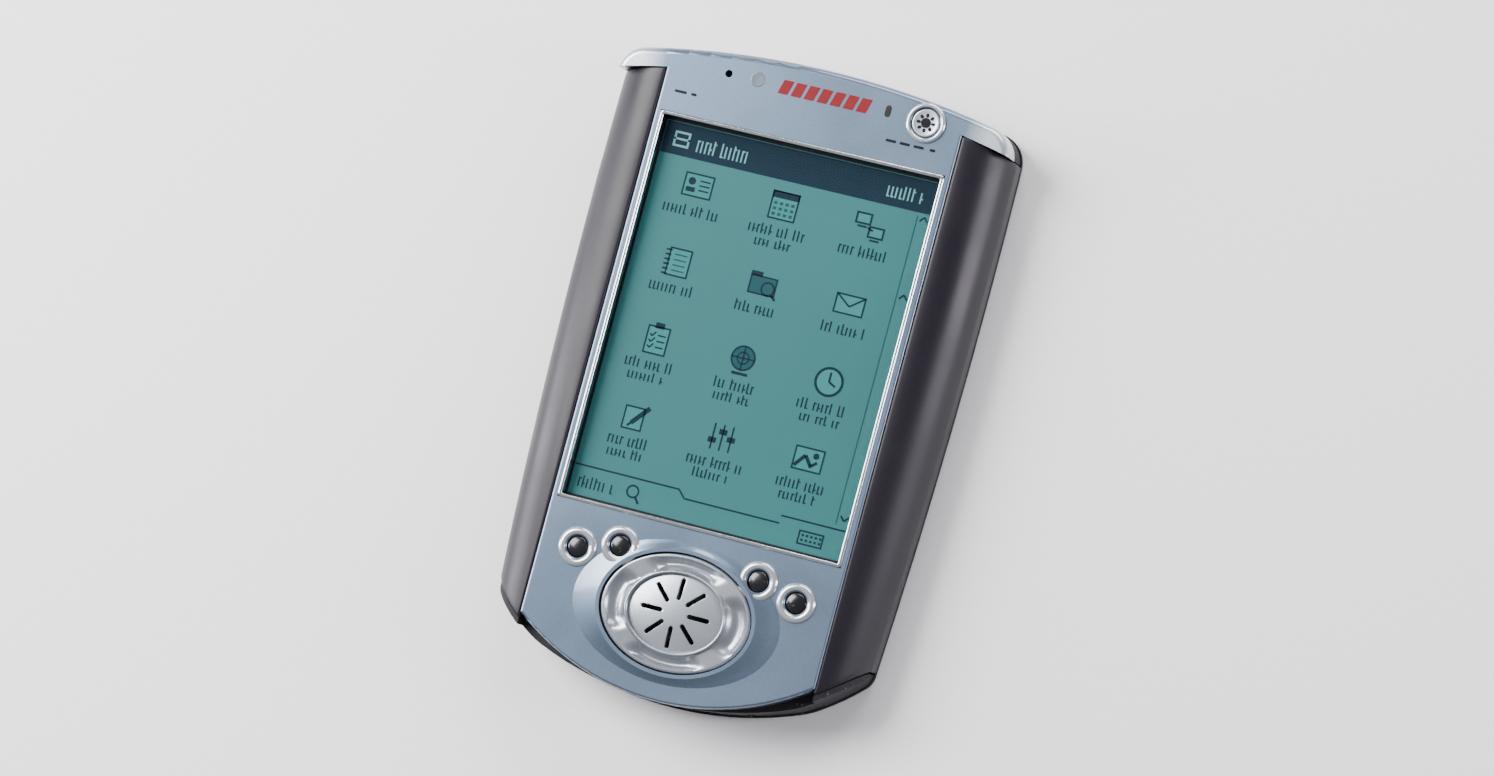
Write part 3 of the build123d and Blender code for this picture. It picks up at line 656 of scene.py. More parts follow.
def slot_finishes(shell, screen):
    """One material for each slot of the record."""
    return {
        # The silver face's colour carries a painted highlight at both ends of its cap.
        "silver_shell": lacquer("silver_lacquer", shell.silver, coat=0.85, painted_end_highlight=True),
        "nav_silver": lacquer("bright_lacquer", shell.bright, smooth=0.24),
        "grille_silver": lacquer("disc_lacquer", shaded(shell.bright, 1.3), smooth=0.27),
        "key_silver": lacquer("key_lacquer", shaded(shell.bright, 1.7), smooth=0.24),
        "dark_shell": moulded("textured_housing", shell.housing, rough=0.62, grain=2400.0, shine=0.25),
        "grip_rubber": soft_touch(shell.grip),
        "bright_trim": metal("polished_trim", (0.80, 0.83, 0.86, 1.0), rough=0.12, strength=0.02),
        "touch_glass": clear_touch(),
        "lcd_teal": display_ground(screen.ground, screen.dot),
        "steel": metal("stamped_steel", (0.50, 0.50, 0.52, 1.0)),
        "circuit_board": circuit_board(),
        "chip_black": moulded("moulded_package", (0.012, 0.012, 0.014, 1.0), rough=0.45, grain=3800.0),
        "flex_amber": gloss("polyimide_ribbon", (0.32, 0.12, 0.02, 1.0), rough=0.25),
        "tape_white": moulded("foam_tape", (0.62, 0.61, 0.58, 1.0), rough=0.8, grain=1800.0, strength=0.6),
        "gasket_black": moulded("foam_gasket", (0.010, 0.010, 0.011, 1.0), rough=0.8, grain=2200.0),
        "backlight_film": moulded(
            "light_sheet", (0.55, 0.62, 0.60, 1.0), rough=0.4, grain=900.0, strength=0.1),
        "cell_wrap": metal("foil_pouch", (0.55, 0.56, 0.58, 1.0), rough=0.35, brush=(400.0, 400.0, 400.0)),
        "key_black": gloss("black_key", (0.0035, 0.0035, 0.0045, 1.0), rough=0.18, dust=0.05, coat=0.1),
        "nylon_grey": moulded("grey_nylon", (0.14, 0.14, 0.15, 1.0), rough=0.5, grain=2600.0),
        "mat_rubber": moulded(
            "silicone_mat", (0.11, 0.115, 0.12, 1.0), rough=0.6, grain=3000.0, strength=0.2),
        "lens_clear": smoke_lens("clear_lens", (0.62, 0.64, 0.60, 1.0)),
        "lens_smoke": smoke_lens("smoked_lens", (0.020, 0.006, 0.010, 1.0)),
        "connector_black": moulded("connector_plastic", (0.012, 0.012, 0.013, 1.0), rough=0.4, grain=4200.0),
        "stylus_grey": gloss("stylus_plastic", (0.045, 0.045, 0.052, 1.0), rough=0.2),
        "stylus_tip_black": moulded("stylus_tip", (0.010, 0.010, 0.010, 1.0), rough=0.5, grain=5000.0),
    }


def extra_finishes(shell, screen):
    """Materials of pieces that the record has no slot of their own for."""
    return {
        "ink_dark": display_ink("display_ink_dark", screen.ink),
        "ink_mid": display_ink("display_ink_mid", (0.008, 0.044, 0.050, 1.0)),
        "ink_light": display_ink("display_ink_light", (0.10, 0.24, 0.25, 1.0)),
        "ink_pale": display_ink("display_ink_pale", (0.028, 0.130, 0.126, 1.0)),
        "print_red": moulded(
            "red_print", (0.13, 0.001, 0.004, 1.0), rough=0.45, shine=0.2, dust=0.0, strength=0.1),
        "print_dark": moulded(
            "dark_print", (0.003, 0.003, 0.005, 1.0), rough=0.5, shine=0.15, dust=0.0, strength=0.1),
        "collar": lacquer("collar_lacquer", (0.48, 0.51, 0.54, 1.0), smooth=0.16, amount=0.15),
        "pipe": smoke_lens("charge_light_pipe", (0.030, 0.032, 0.030, 1.0)),
        "sensor": smoke_lens("sensor_lens", (0.16, 0.19, 0.22, 1.0)),
        "gold": metal("gold_contact", (0.83, 0.58, 0.22, 1.0), rough=0.22),
        "cloth": speaker_cone(),
    }


FINISHES = {}


def finishes():
    """All materials, made once."""
    if not FINISHES:
        scene = bpy.context.scene
        FINISHES.update(slot_finishes(scene.handheld_shell, scene.handheld_screen))
        FINISHES.update(extra_finishes(scene.handheld_shell, scene.handheld_screen))
    return FINISHES


# ---------------------------------------------------------------- side grips
CASE_HALF = CAD_BOX[1].x
SIDE_R = 1389.0 * MM
SIDE_Y = 33.0 * MM
TOP_R = 185.0 * MM
CAP_R = 180.6 * MM
SILVER_R = 52.2 * MM
SILVER_END = 64.7 * MM


def side_x(y):
    """Half width of the case at a height y."""
    return CASE_HALF - SIDE_R + math.sqrt(SIDE_R ** 2 - (y - SIDE_Y) ** 2)


def grip_top_y(x):
    """Upper end of a grip, parallel to the arched top of the case."""
    return CAD_BOX[1].y - TOP_R + math.sqrt(CAP_R ** 2 - x ** 2)


def grip_bottom_y(x):
    """Lower end of a grip, in line with the round end of the silver face."""
    return SILVER_R - SILVER_END - math.sqrt((SILVER_R + 1.0 * MM) ** 2 - x ** 2)


HUB_IN = 9.66 * MM
HUB_Z = 4.9 * MM
LIP_R = 9.9 * MM
ARC_STEPS = 22
WALL_STEPS = 6


def grip_point(step, share):
    """A point of the right grip's skin: step runs from the face round to the ledge, share up the side."""
    x = CASE_HALF - HUB_IN / 2
    shoulder = math.acos(HUB_IN / LIP_R)
    for _ in range(4):
        y = grip_bottom_y(x) + (grip_top_y(x) - grip_bottom_y(x)) * share
        side = side_x(y)
        if step <= ARC_STEPS:
            start = math.acos((GRIP_LOW.x - side + HUB_IN) / LIP_R)
            turn = start + (shoulder - start) * step / ARC_STEPS
            x = side - HUB_IN + LIP_R * math.cos(turn)
            z = HUB_Z + LIP_R * math.sin(turn)
        else:
            top = HUB_Z + LIP_R * math.sin(shoulder)
            x = side
            z = top + (GRIP_LOW.z - top) * (step - ARC_STEPS) / WALL_STEPS
    return x, y, z


def grip_skin(name, side):
    """Outer skin of one grip as a grid that follows the bowed side and both slanted ends."""
    stations = 72
    sheet = bmesh.new()
    grid = []
    for step in range(ARC_STEPS + WALL_STEPS + 1):
        row = []
        for j in range(stations + 1):
            x, y, z = grip_point(step, j / stations)
            row.append(sheet.verts.new((side * x, y, z)))
        grid.append(row)
    for lower, upper in zip(grid, grid[1:]):
        for j in range(stations):
            corners = (lower[j], lower[j + 1], upper[j + 1], upper[j])
            sheet.faces.new(corners if side > 0 else tuple(reversed(corners)))
    sheet.normal_update()
    if sum(face.normal.z for face in sheet.faces) < 0:
        bmesh.ops.reverse_faces(sheet, faces=sheet.faces)
    mesh = bpy.data.meshes.new(name)
    sheet.to_mesh(mesh)
    sheet.free()
    return mesh_object(name, mesh)


def make_grip(name, side):
    """A grip with its real wall and softly rounded rims."""
    piece = grip_skin(name, side)
    wall = piece.modifiers.new("wall", "SOLIDIFY")
    wall.thickness = 1.35 * MM
    wall.offset = -1.0
    soften_rims(piece, 0.32 * MM, 3, 50)
    smooth_by_angle(piece, 40.0)
    return piece


def record_slot_cutter():
    """Round-ended bar that cuts the record button's slot."""
    centre = middle("record_button")
    slot_z, length, width, reach = 6.2 * MM, 9.3 * MM, 3.1 * MM, 4 * MM
    cutter = plate("record_slot_cutter", [slot_outline((0.0, 0.0), length, width)], -reach, reach)
    for vertex in cutter.data.vertices:
        along, up, across = vertex.co
        vertex.co = (-CASE_HALF + across, centre.y + along, slot_z + up)
    return cutter


class HANDHELD_OT_grips(bpy.types.Operator):
    """Build the two side grips"""

    bl_idname = "handheld.grips"
    bl_label = "Side Grips"

    def execute(self, context):
        sides = (("grip_skin_right", "side_grip_right", 1), ("grip_skin_left", "side_grip_left", -1))
        for name, node, side in sides:
            piece = make_grip(name, side)
            if side < 0:
                subtract(piece, [record_slot_cutter()])
                smooth_by_angle(piece, 40.0)
            finish_piece(piece, "case", finishes()["grip_rubber"])
            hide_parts(node)
        return {"FINISHED"}


# ---------------------------------------------------------------- navigation pad and speaker disc
PAD_RX, PAD_RY = 15.6 * MM, 11.7 * MM
DISC_RX, DISC_RY = 10.5 * MM, 8.4 * MM
PAD_TOP = FACE_Z + 0.5 * MM
DISC_RIM = CAD_BOX[1].z


def scoop_depth(turn):
    """Depth of the finger scoops: full at the four points of the compass, none between them."""
    lobe = abs(math.cos(2 * turn))
    share = min(max((lobe - 0.30) / 0.45, 0.0), 1.0)
    return share * share * (3 - 2 * share)


def pad_rings():
    """Rings of the navigation pad, from its hidden skirt up and in to the speaker opening."""
    skirt_z, under_z, seat_z, wall_z = 12.2 * MM, 13.9 * MM, 14.9 * MM, 15.2 * MM
    flare, edge, rim, scoop, wall = 0.6 * MM, 0.45 * MM, 0.32 * MM, 1.05 * MM, 1.4 * MM
    rings = [oval_ring(NAV, PAD_RX - flare, PAD_RY - flare, skirt_z)]
    rings.append(oval_ring(NAV, PAD_RX, PAD_RY, skirt_z))
    for i in range(7):
        turn = math.pi / 2 * i / 6
        inset = edge * (1 - math.cos(turn))
        height = PAD_TOP - edge + edge * math.sin(turn)
        rings.append(oval_ring(NAV, PAD_RX - inset, PAD_RY - inset, height))
    outer_x, outer_y = PAD_RX - edge - 0.35 * MM, PAD_RY - edge - 0.25 * MM
    inner_x, inner_y = DISC_RX + 0.25 * MM, DISC_RY + 0.2 * MM
    steps = 16
    for i in range(steps + 1):
        share = i / steps
        dip = math.sin(math.pi * share) ** 0.75 if 0 < share < 1 else 0.0
        rx = outer_x + (inner_x - outer_x) * share
        ry = outer_y + (inner_y - outer_y) * share
        rings.append(oval_ring(NAV, rx, ry, PAD_TOP, lift=lambda turn: -scoop * dip * scoop_depth(turn)))
    for i in range(9):
        turn = math.pi * i / 8
        inset = rim - rim * math.cos(turn)
        height = DISC_RIM - rim + rim * math.sin(turn)
        rings.append(oval_ring(NAV, DISC_RX - inset, DISC_RY - inset, height))
    for height in (wall_z, seat_z):
        rings.append(oval_ring(NAV, DISC_RX - 2 * rim, DISC_RY - 2 * rim, height))
    for height in (seat_z, under_z):
        rings.append(oval_ring(NAV, DISC_RX - wall, DISC_RY - wall, height))
    rings.append(oval_ring(NAV, PAD_RX - 0.9 * MM, PAD_RY - 0.9 * MM, under_z))
    return rings


def speaker_disc():
    """Gently domed disc with eight radial slots."""
    rx, ry = DISC_RX - 0.70 * MM, DISC_RY - 0.70 * MM
    under_z, edge_z, crown = 14.60 * MM, 15.02 * MM, 0.78 * MM
    rings = [oval_ring(NAV, rx, ry, under_z)]
    steps = 14
    for i in range(steps):
        reach = 1 - i / steps
        rings.append(oval_ring(NAV, rx * reach, ry * reach, edge_z + crown * (1 - reach ** 2)))
    disc = loft_rings("speaker_disc", rings)
    slots, slot_r, length, width = 8, 4.9 * MM, 4.6 * MM, 0.95 * MM
    cutters = []
    for step in range(slots):
        turn = 2 * math.pi * step / slots
        centre = (NAV.x + slot_r * math.cos(turn), NAV.y + slot_r * math.sin(turn))
        outline = slot_outline(centre, length, width, turn)
        cutters.append(plate(f"disc_slot_{step}", [outline], 14.0 * MM, 17.0 * MM))
    subtract(disc, cutters)
    soften_rims(disc, 0.15 * MM, 3, 55)
    smooth_by_angle(disc, 30.0)
    return disc


class HANDHELD_OT_nav_pad(bpy.types.Operator):
    """Build the navigation pad and the speaker disc"""

    bl_idname = "handheld.nav_pad"
    bl_label = "Navigation Pad"

    def execute(self, context):
        rings = pad_rings()
        pad = loft_rings("nav_pad_cap", rings + [rings[0]], cap_first=False, cap_last=False)
        smooth_by_angle(pad, 45.0)
        finish_piece(pad, "nav_rocker", finishes()["nav_silver"])
        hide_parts("nav_pad")
        disc = speaker_disc()
        finish_piece(disc, "nav_rocker", finishes()["grille_silver"])
        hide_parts("speaker_grille")
        return {"FINISHED"}


# ---------------------------------------------------------------- keys
def dome_profile(radius, low, shoulder, crown, steps=10):
    """Profile of a domed key, from its flange up over its crown."""
    flange, flange_top = radius + 0.6, low + 0.8
    points = [(AXIS, low), (flange, low), (flange, flange_top), (radius, flange_top), (radius, shoulder)]
    for i in range(1, steps + 1):
        turn = math.pi / 2 * i / steps
        points.append((max(radius * math.cos(turn), AXIS), shoulder + crown * math.sin(turn)))
    return points


class HANDHELD_OT_app_keys(bpy.types.Operator):
    """Build the four domed application keys"""

    bl_idname = "handheld.app_keys"
    bl_label = "Application Keys"

    def execute(self, context):
        for number, node in enumerate(APP_KEYS, start=1):
            profile = dome_profile(2.1, 12.5, 14.75, 0.6)
            key = lathe(f"app_key_dome_{number}", middle(node), profile, count=64)
            smooth_by_angle(key, 50.0)
            finish_piece(key, f"app_key_{number}", finishes()["key_black"])
            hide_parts(node)
            collar = collar_ring(f"app_key_collar_{number}", middle(node), 2.27, 4.0, 0.66)
            finish_piece(collar, "case", finishes()["collar"])
        return {"FINISHED"}


def collar_ring(name, centre, inner, outer, height):
    """Round-topped ring standing on the face round a key."""
    half, crest = (outer - inner) / 2, (outer + inner) / 2
    radius = (half ** 2 + height ** 2) / (2 * height)
    reach = math.asin(half / radius)
    face = FACE_Z / MM
    profile = [(inner, face - 0.5)]
    steps = 14
    for i in range(steps + 1):
        turn = reach * (2 * i / steps - 1)
        profile.append((crest + radius * math.sin(turn), face + height - radius + radius * math.cos(turn)))
    profile.append((outer, face - 0.5))
    rings = [oval_ring(centre, r * MM, r * MM, z * MM, 80) for r, z in profile]
    ring = loft_rings(name, rings + [rings[0]], False, False)
    smooth_by_angle(ring, 60.0)
    return ring


POWER_R = 2.85    # radius of the power key in millimetres


def sun_mark(centre, z):
    """Plain eight-rayed sun printed on the power key: a disc ringed by short bars."""
    outlines = []
    rays = 8
    for i in range(rays):
        turn = 2 * math.pi * i / rays
        spot = (centre.x + 1.52 * MM * math.cos(turn), centre.y + 1.52 * MM * math.sin(turn))
        outlines.append(slot_outline(spot, 0.86 * MM, 0.62 * MM, turn, steps=5))
    disc = [(p.x, p.y) for p in oval_ring(centre, 1.00 * MM, 1.00 * MM, 0.0, 36)]
    return plate("power_sun_mark", outlines + [disc], z, z + 0.09 * MM)


class HANDHELD_OT_power_key(bpy.types.Operator):
    """Build the power key with its sun mark"""

    bl_idname = "handheld.power_key"
    bl_label = "Power Key"

    def execute(self, context):
        low_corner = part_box("power_button")[0]
        centre = Vector((middle("power_button").x, low_corner.y + 3.35 * MM, 0.0))
        low, step, top = 12.5, 13.2, 15.1
        side = [(AXIS, low), (3.0, low), (3.0, step), (POWER_R, step), (POWER_R, top - 0.5)]
        dish = [(2.3, top - 0.04), (1.9, top - 0.08), (1.0, top - 0.12), (AXIS, top - 0.13)]
        profile = side + round_over(POWER_R, top, 0.3) + dish
        key = lathe("power_key_cap", centre, profile, count=80)
        smooth_by_angle(key, 50.0)
        finish_piece(key, "power_key", finishes()["key_silver"])
        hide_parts("power_button")
        collar = collar_ring("power_key_collar", centre, 3.02, 4.0, 0.62)
        finish_piece(collar, "case", finishes()["collar"])
        mark = sun_mark(centre, 14.99 * MM)
        finish_piece(mark, "power_key", finishes()["print_dark"])
        return {"FINISHED"}


# ---------------------------------------------------------------- screen picture
class Picture:
    """Flat shapes in display dots, from the top left corner, sorted by ink."""

    def __init__(self):
        self.shapes = {"ink_pale": [], "ink_mid": [], "ink_dark": [], "ink_light": []}

    def bar(self, x, y, w, h, ink="ink_dark"):
        """A filled box."""
        self.shapes[ink].append([(x, y), (x + w, y), (x + w, y + h), (x, y + h)])

    def box(self, x, y, w, h, t=1, ink="ink_dark"):
        """An outlined box."""
        self.bar(x, y, w, t, ink)
        self.bar(x, y + h - t, w, t, ink)
        self.bar(x, y + t, t, h - 2 * t, ink)
        self.bar(x + w - t, y + t, t, h - 2 * t, ink)

    def stroke(self, x0, y0, x1, y1, t=1.4, ink="ink_dark"):
        """A straight slanted stroke."""
        length = math.hypot(x1 - x0, y1 - y0)
        nx, ny = -(y1 - y0) / length * t / 2, (x1 - x0) / length * t / 2
        near, far = (x0 - nx, y0 - ny), (x1 - nx, y1 - ny)
        self.shapes[ink].append([near, far, (x1 + nx, y1 + ny), (x0 + nx, y0 + ny)])

    def disc(self, x, y, r, ink="ink_dark", count=20):
        """A filled round."""
        ring = [(x + r * math.cos(2 * math.pi * i / count), y + r * math.sin(2 * math.pi * i / count))
                for i in range(count)]
        self.shapes[ink].append(ring)

    def hoop(self, x, y, r, t=1.4, ink="ink_dark", count=20):
        """An outlined round, made of short strokes."""
        turns = [2 * math.pi * i / count for i in range(count + 1)]
        spots = [(x + r * math.cos(turn), y + r * math.sin(turn)) for turn in turns]
        for start, end in zip(spots, spots[1:]):
            self.stroke(*start, *end, t, ink)

    def words(self, x, y, w, h, draw, ink="ink_dark"):
        """A line of meaningless marks that reads as small print."""
        pen = x
        while pen < x + w - 2:
            run = draw.choice((3, 4, 5, 6, 7))
            for _ in range(run):
                if pen > x + w - 2:
                    break
                rise = draw.choice((0, 0, 0, 2))
                tall = h - 2 + rise
                self.bar(pen, y + 2 - rise, 1.3, tall, ink)
                if draw.random() < 0.55:
                    self.bar(pen + 1.3, y + draw.choice((2, h / 2 + 1, h - 1.2)), 1.3, 1.2, ink)
                pen += 3.6
            pen += 3.4


def icon_card(p, x, y):
    """Address card."""
    p.bar(x - 13, y - 10, 26, 20, "ink_pale")
    p.box(x - 13, y - 10, 26, 20, 1.4)
    p.disc(x - 6, y - 3, 3.2)
    p.bar(x - 10, y + 2, 8, 4)
    for row in (-5, -1, 3):
        p.bar(x + 1, y + row, 9, 1.3)


def icon_calendar(p, x, y):
    """Month page."""
    p.bar(x - 12, y - 12, 24, 24, "ink_pale")
    p.box(x - 12, y - 12, 24, 24, 1.4)
    p.bar(x - 12, y - 12, 24, 6)
    for col in range(4):
        for row in range(3):
            p.bar(x - 9 + 5 * col, y - 3 + 4.6 * row, 3, 2.6, "ink_mid")


def icon_linked_screens(p, x, y):
    """Two small screens joined by a line."""
    for dx, dy in ((-7, -5), (6, 5)):
        p.bar(x + dx - 7, y + dy - 6, 14, 10, "ink_pale")
        p.box(x + dx - 7, y + dy - 6, 14, 10, 1.6)
        p.bar(x + dx - 4, y + dy + 5, 8, 1.6)
    p.stroke(x - 2, y + 1, x + 3, y + 3, 1.6)


def icon_notebook(p, x, y):
    """Ringed notebook."""
    p.bar(x - 9, y - 12, 20, 24, "ink_pale")
    p.box(x - 9, y - 12, 20, 24, 1.4)
    for row in range(6):
        p.bar(x - 12, y - 10 + 4 * row, 5, 1.5)
    for row in range(4):
        p.bar(x - 4, y - 7 + 4.5 * row, 11, 1.2, "ink_mid")


def icon_folder(p, x, y):
    """Folder with a lens over it."""
    p.bar(x - 12, y - 9, 10, 4)
    p.bar(x - 12, y - 6, 24, 16, "ink_mid")
    p.box(x - 12, y - 6, 24, 16, 1.4)
    p.disc(x + 5, y + 4, 5.5, "ink_pale")
    p.hoop(x + 5, y + 4, 5.5, 1.6)
    p.stroke(x + 9, y + 8, x + 13, y + 12, 2.2)


def icon_envelope(p, x, y):
    """Envelope."""
    p.bar(x - 13, y - 8, 26, 17, "ink_pale")
    p.box(x - 13, y - 8, 26, 17, 1.4)
    p.stroke(x - 12, y - 7, x, y + 2)
    p.stroke(x + 12, y - 7, x, y + 2)


def icon_checklist(p, x, y):
    """Board with ticked lines."""
    p.bar(x - 10, y - 11, 20, 24, "ink_pale")
    p.box(x - 10, y - 11, 20, 24, 1.4)
    p.bar(x - 4, y - 14, 8, 5)
    for row in (-4, 1, 6):
        p.stroke(x - 7, y + row, x - 5, y + row + 2, 1.3)
        p.stroke(x - 5, y + row + 2, x - 2, y + row - 2, 1.3)
        p.bar(x, y + row, 7, 1.3)


def icon_globe(p, x, y):
    """Globe on a stand."""
    p.disc(x, y - 2, 10, "ink_mid", 28)
    p.hoop(x, y - 2, 10, 1.6, count=28)
    p.bar(x - 10, y - 2.6, 20, 1.3)
    p.stroke(x, y - 12, x, y + 8, 1.3)
    p.hoop(x, y - 2, 5, 1.2, count=18)
    p.bar(x - 7, y + 10, 14, 2.4)


def icon_clock(p, x, y):
    """Clock face."""
    p.disc(x, y, 11.5, "ink_pale", 28)
    p.hoop(x, y, 11.5, 2.2, count=28)
    p.stroke(x, y, x, y - 8, 1.8)
    p.stroke(x, y, x + 6, y + 3, 1.8)


def icon_pencil(p, x, y):
    """Pencil over a sheet."""
    p.bar(x - 11, y - 8, 18, 20, "ink_pale")
    p.box(x - 11, y - 8, 18, 20, 1.4)
    p.stroke(x - 3, y + 6, x + 10, y - 9, 4.0)
    p.stroke(x - 6, y + 9, x - 3, y + 6, 2.0)


def icon_sliders(p, x, y):
    """Three sliders."""
    for col, knob in ((-8, 3), (0, -5), (8, 0)):
        p.bar(x + col - 0.7, y - 11, 1.4, 22)
        p.bar(x + col - 3.5, y + knob - 2, 7, 4.5)


def icon_landscape(p, x, y):
    """Framed picture of hills and a sun."""
    p.bar(x - 13, y - 10, 26, 20, "ink_pale")
    p.box(x - 13, y - 10, 26, 20, 1.4)
    p.disc(x + 6, y - 4, 2.6)
    p.stroke(x - 11, y + 7, x - 3, y - 3, 3.0)
    p.stroke(x - 3, y - 3, x + 3, y + 5, 3.0)
    p.stroke(x + 2, y + 6, x + 8, y + 1, 2.4)


ICONS = (icon_card, icon_calendar, icon_linked_screens, icon_notebook, icon_folder, icon_envelope,
         icon_checklist, icon_globe, icon_clock, icon_pencil, icon_sliders, icon_landscape)


def draw_picture(columns, rows):
    """The start page: a title bar, twelve labelled symbols, a scroll bar and a foot bar."""
    draw = random.Random(7)
    p = Picture()
    p.bar(0, 0, columns, 27)
    p.words(30, 9, 50, 12, draw, "ink_light")
    p.box(9, 7, 14, 13, 1.8, "ink_light")
    p.bar(9, 12.5, 14, 1.8, "ink_light")
    p.words(columns - 42, 9, 34, 11, draw, "ink_light")
    for number, icon in enumerate(ICONS):
        col, row = number % 3, number // 3
        x, y = 40 + 76 * col, 48 + 66 * row
        icon(p, x, y)
        width = draw.choice((38, 44, 50))
        p.words(x - width / 2, y + 17, width, 9, draw)
        if row >= 2 or number == 1:
            p.words(x - 17, y + 28, 34, 8, draw)
    p.bar(columns - 12, 30, 1, 262, "ink_mid")
    for y in (34, 100, 284):
        p.stroke(columns - 9, y, columns - 5.5, y - 4 if y < 284 else y + 4, 1.5)
        p.stroke(columns - 5.5, y - 4 if y < 284 else y + 4, columns - 2, y, 1.5)
    foot = rows - 25
    p.bar(0, foot, 92, 1.4)
    p.stroke(92, foot + 0.7, 98, foot + 7, 1.4)
    p.bar(98, foot + 6.5, 84, 1.4)
    p.bar(182, foot, columns - 182, 1.4)
    p.words(6, foot + 9, 34, 10, draw)
    p.hoop(54, foot + 12, 5, 1.5)
    p.stroke(57, foot + 16, 61, foot + 21, 2.0)
    p.box(200, foot + 8, 22, 12, 1.4)
    for row in range(2):
        for col in range(5):
            p.bar(203 + 3.8 * col, foot + 11 + 4 * row, 2, 2)
    return p


INK_STEP = 0.012 * MM


def picture_layer(ink, shapes, corner, dot, height):
    """One mesh with all shapes of one ink, laid on the display and facing up."""
    sheet = bmesh.new()
    for shape in shapes:
        corners = [sheet.verts.new((corner.x + x * dot, corner.y - y * dot, height)) for x, y in shape]
        face = sheet.faces.new(corners)
        face.normal_update()
        if face.normal.z < 0:
            face.normal_flip()
    mesh = bpy.data.meshes.new("picture_" + ink)
    sheet.to_mesh(mesh)
    sheet.free()
    return mesh_object("picture_" + ink, mesh, smooth=False)


class HANDHELD_OT_screen_picture(bpy.types.Operator):
    """Draw the start page and its dark surround on the display"""

    bl_idname = "handheld.screen_picture"
    bl_label = "Screen Picture"

    def execute(self, context):
        screen = context.scene.handheld_screen
        centre = middle("lcd_panel")
        width, height = screen.columns * screen.dot, screen.rows * screen.dot
        corner = Vector((centre.x - width / 2, centre.y + height / 2, 0.0))
        picture = draw_picture(screen.columns, screen.rows)
        for level, (ink, shapes) in enumerate(picture.shapes.items(), start=1):
            layer = picture_layer(ink, shapes, corner, screen.dot, PANEL_HIGH.z + level * INK_STEP)
            finish_piece(layer, "case", finishes()[ink])
        surround = self.surround(centre, width, height)
        finish_piece(surround, "case", finishes()["print_dark"])
        return {"FINISHED"}

    def surround(self, centre, width, height):
        """Dark border between the picture and the window's edge."""
        outlines = []
        for grow in (1.9 * MM, 0.15 * MM):
            x, y = width / 2 + grow, height / 2 + grow
            outlines.append([(centre.x - x, centre.y - y), (centre.x + x, centre.y - y),
                             (centre.x + x, centre.y + y), (centre.x - x, centre.y + y)])
        return plate("picture_surround", outlines, PANEL_HIGH.z, PANEL_HIGH.z + 0.06 * MM)


# ---------------------------------------------------------------- marks and contacts
class HANDHELD_OT_face_marks(bpy.types.Operator):
    """Print the plain marks on the silver face"""

    bl_idname = "handheld.face_marks"
    bl_label = "Face Marks"

    def execute(self, context):
        red = plate("red_stripes", self.stripes(), FACE_Z, FACE_Z + 0.06 * MM)
        finish_piece(red, "case", finishes()["print_red"])
        dots = []
        top = WINDOW_HIGH.y + 4.3 * MM
        for x, length in ((-27.0, 2.6), (-24.2, 1.2), (17.5, 2.2), (20.4, 2.2), (23.3, 2.2), (26.2, 1.2)):
            dots.append(slot_outline((x * MM, top), length * MM, 0.55 * MM))
        dark = plate("dark_dashes", dots, FACE_Z, FACE_Z + 0.05 * MM)
        finish_piece(dark, "case", finishes()["print_dark"])
        return {"FINISHED"}

    def stripes(self):
        """Seven slanted blocks in a row."""
        outlines = []
        count, start, step, wide, tall, lean = 7, -7.6 * MM, 2.75 * MM, 2.1 * MM, 2.9 * MM, 0.8 * MM
        low = middle("charge_light_pipe").y - tall / 2
        for i in range(count):
            x, high = start + i * step, low + tall
            outlines.append([(x, low), (x + wide, low), (x + wide + lean, high), (x + lean, high)])
        return outlines


def contact_row(name, node, count, length, heights, depths):
    """A row of gold contact fingers across a connector, each as tall and as deep as the two ranges say."""
    centre = middle(node)
    pitch = length / count
    sheet = bmesh.new()
    for i in range(count):
        x = centre.x + (i - (count - 1) / 2) * pitch
        made = bmesh.ops.create_cube(sheet, size=1.0)
        for vertex in made["verts"]:
            vertex.co.x = x + vertex.co.x * pitch * 0.45
            vertex.co.y = sum(depths) / 2 + vertex.co.y * (depths[1] - depths[0])
            vertex.co.z = sum(heights) / 2 + vertex.co.z * (heights[1] - heights[0])
    bmesh.ops.bevel(sheet, geom=list(sheet.edges), offset=0.04 * MM, segments=2, affect="EDGES")
    mesh = bpy.data.meshes.new(name)
    sheet.to_mesh(mesh)
    sheet.free()
    return mesh_object(name, mesh)


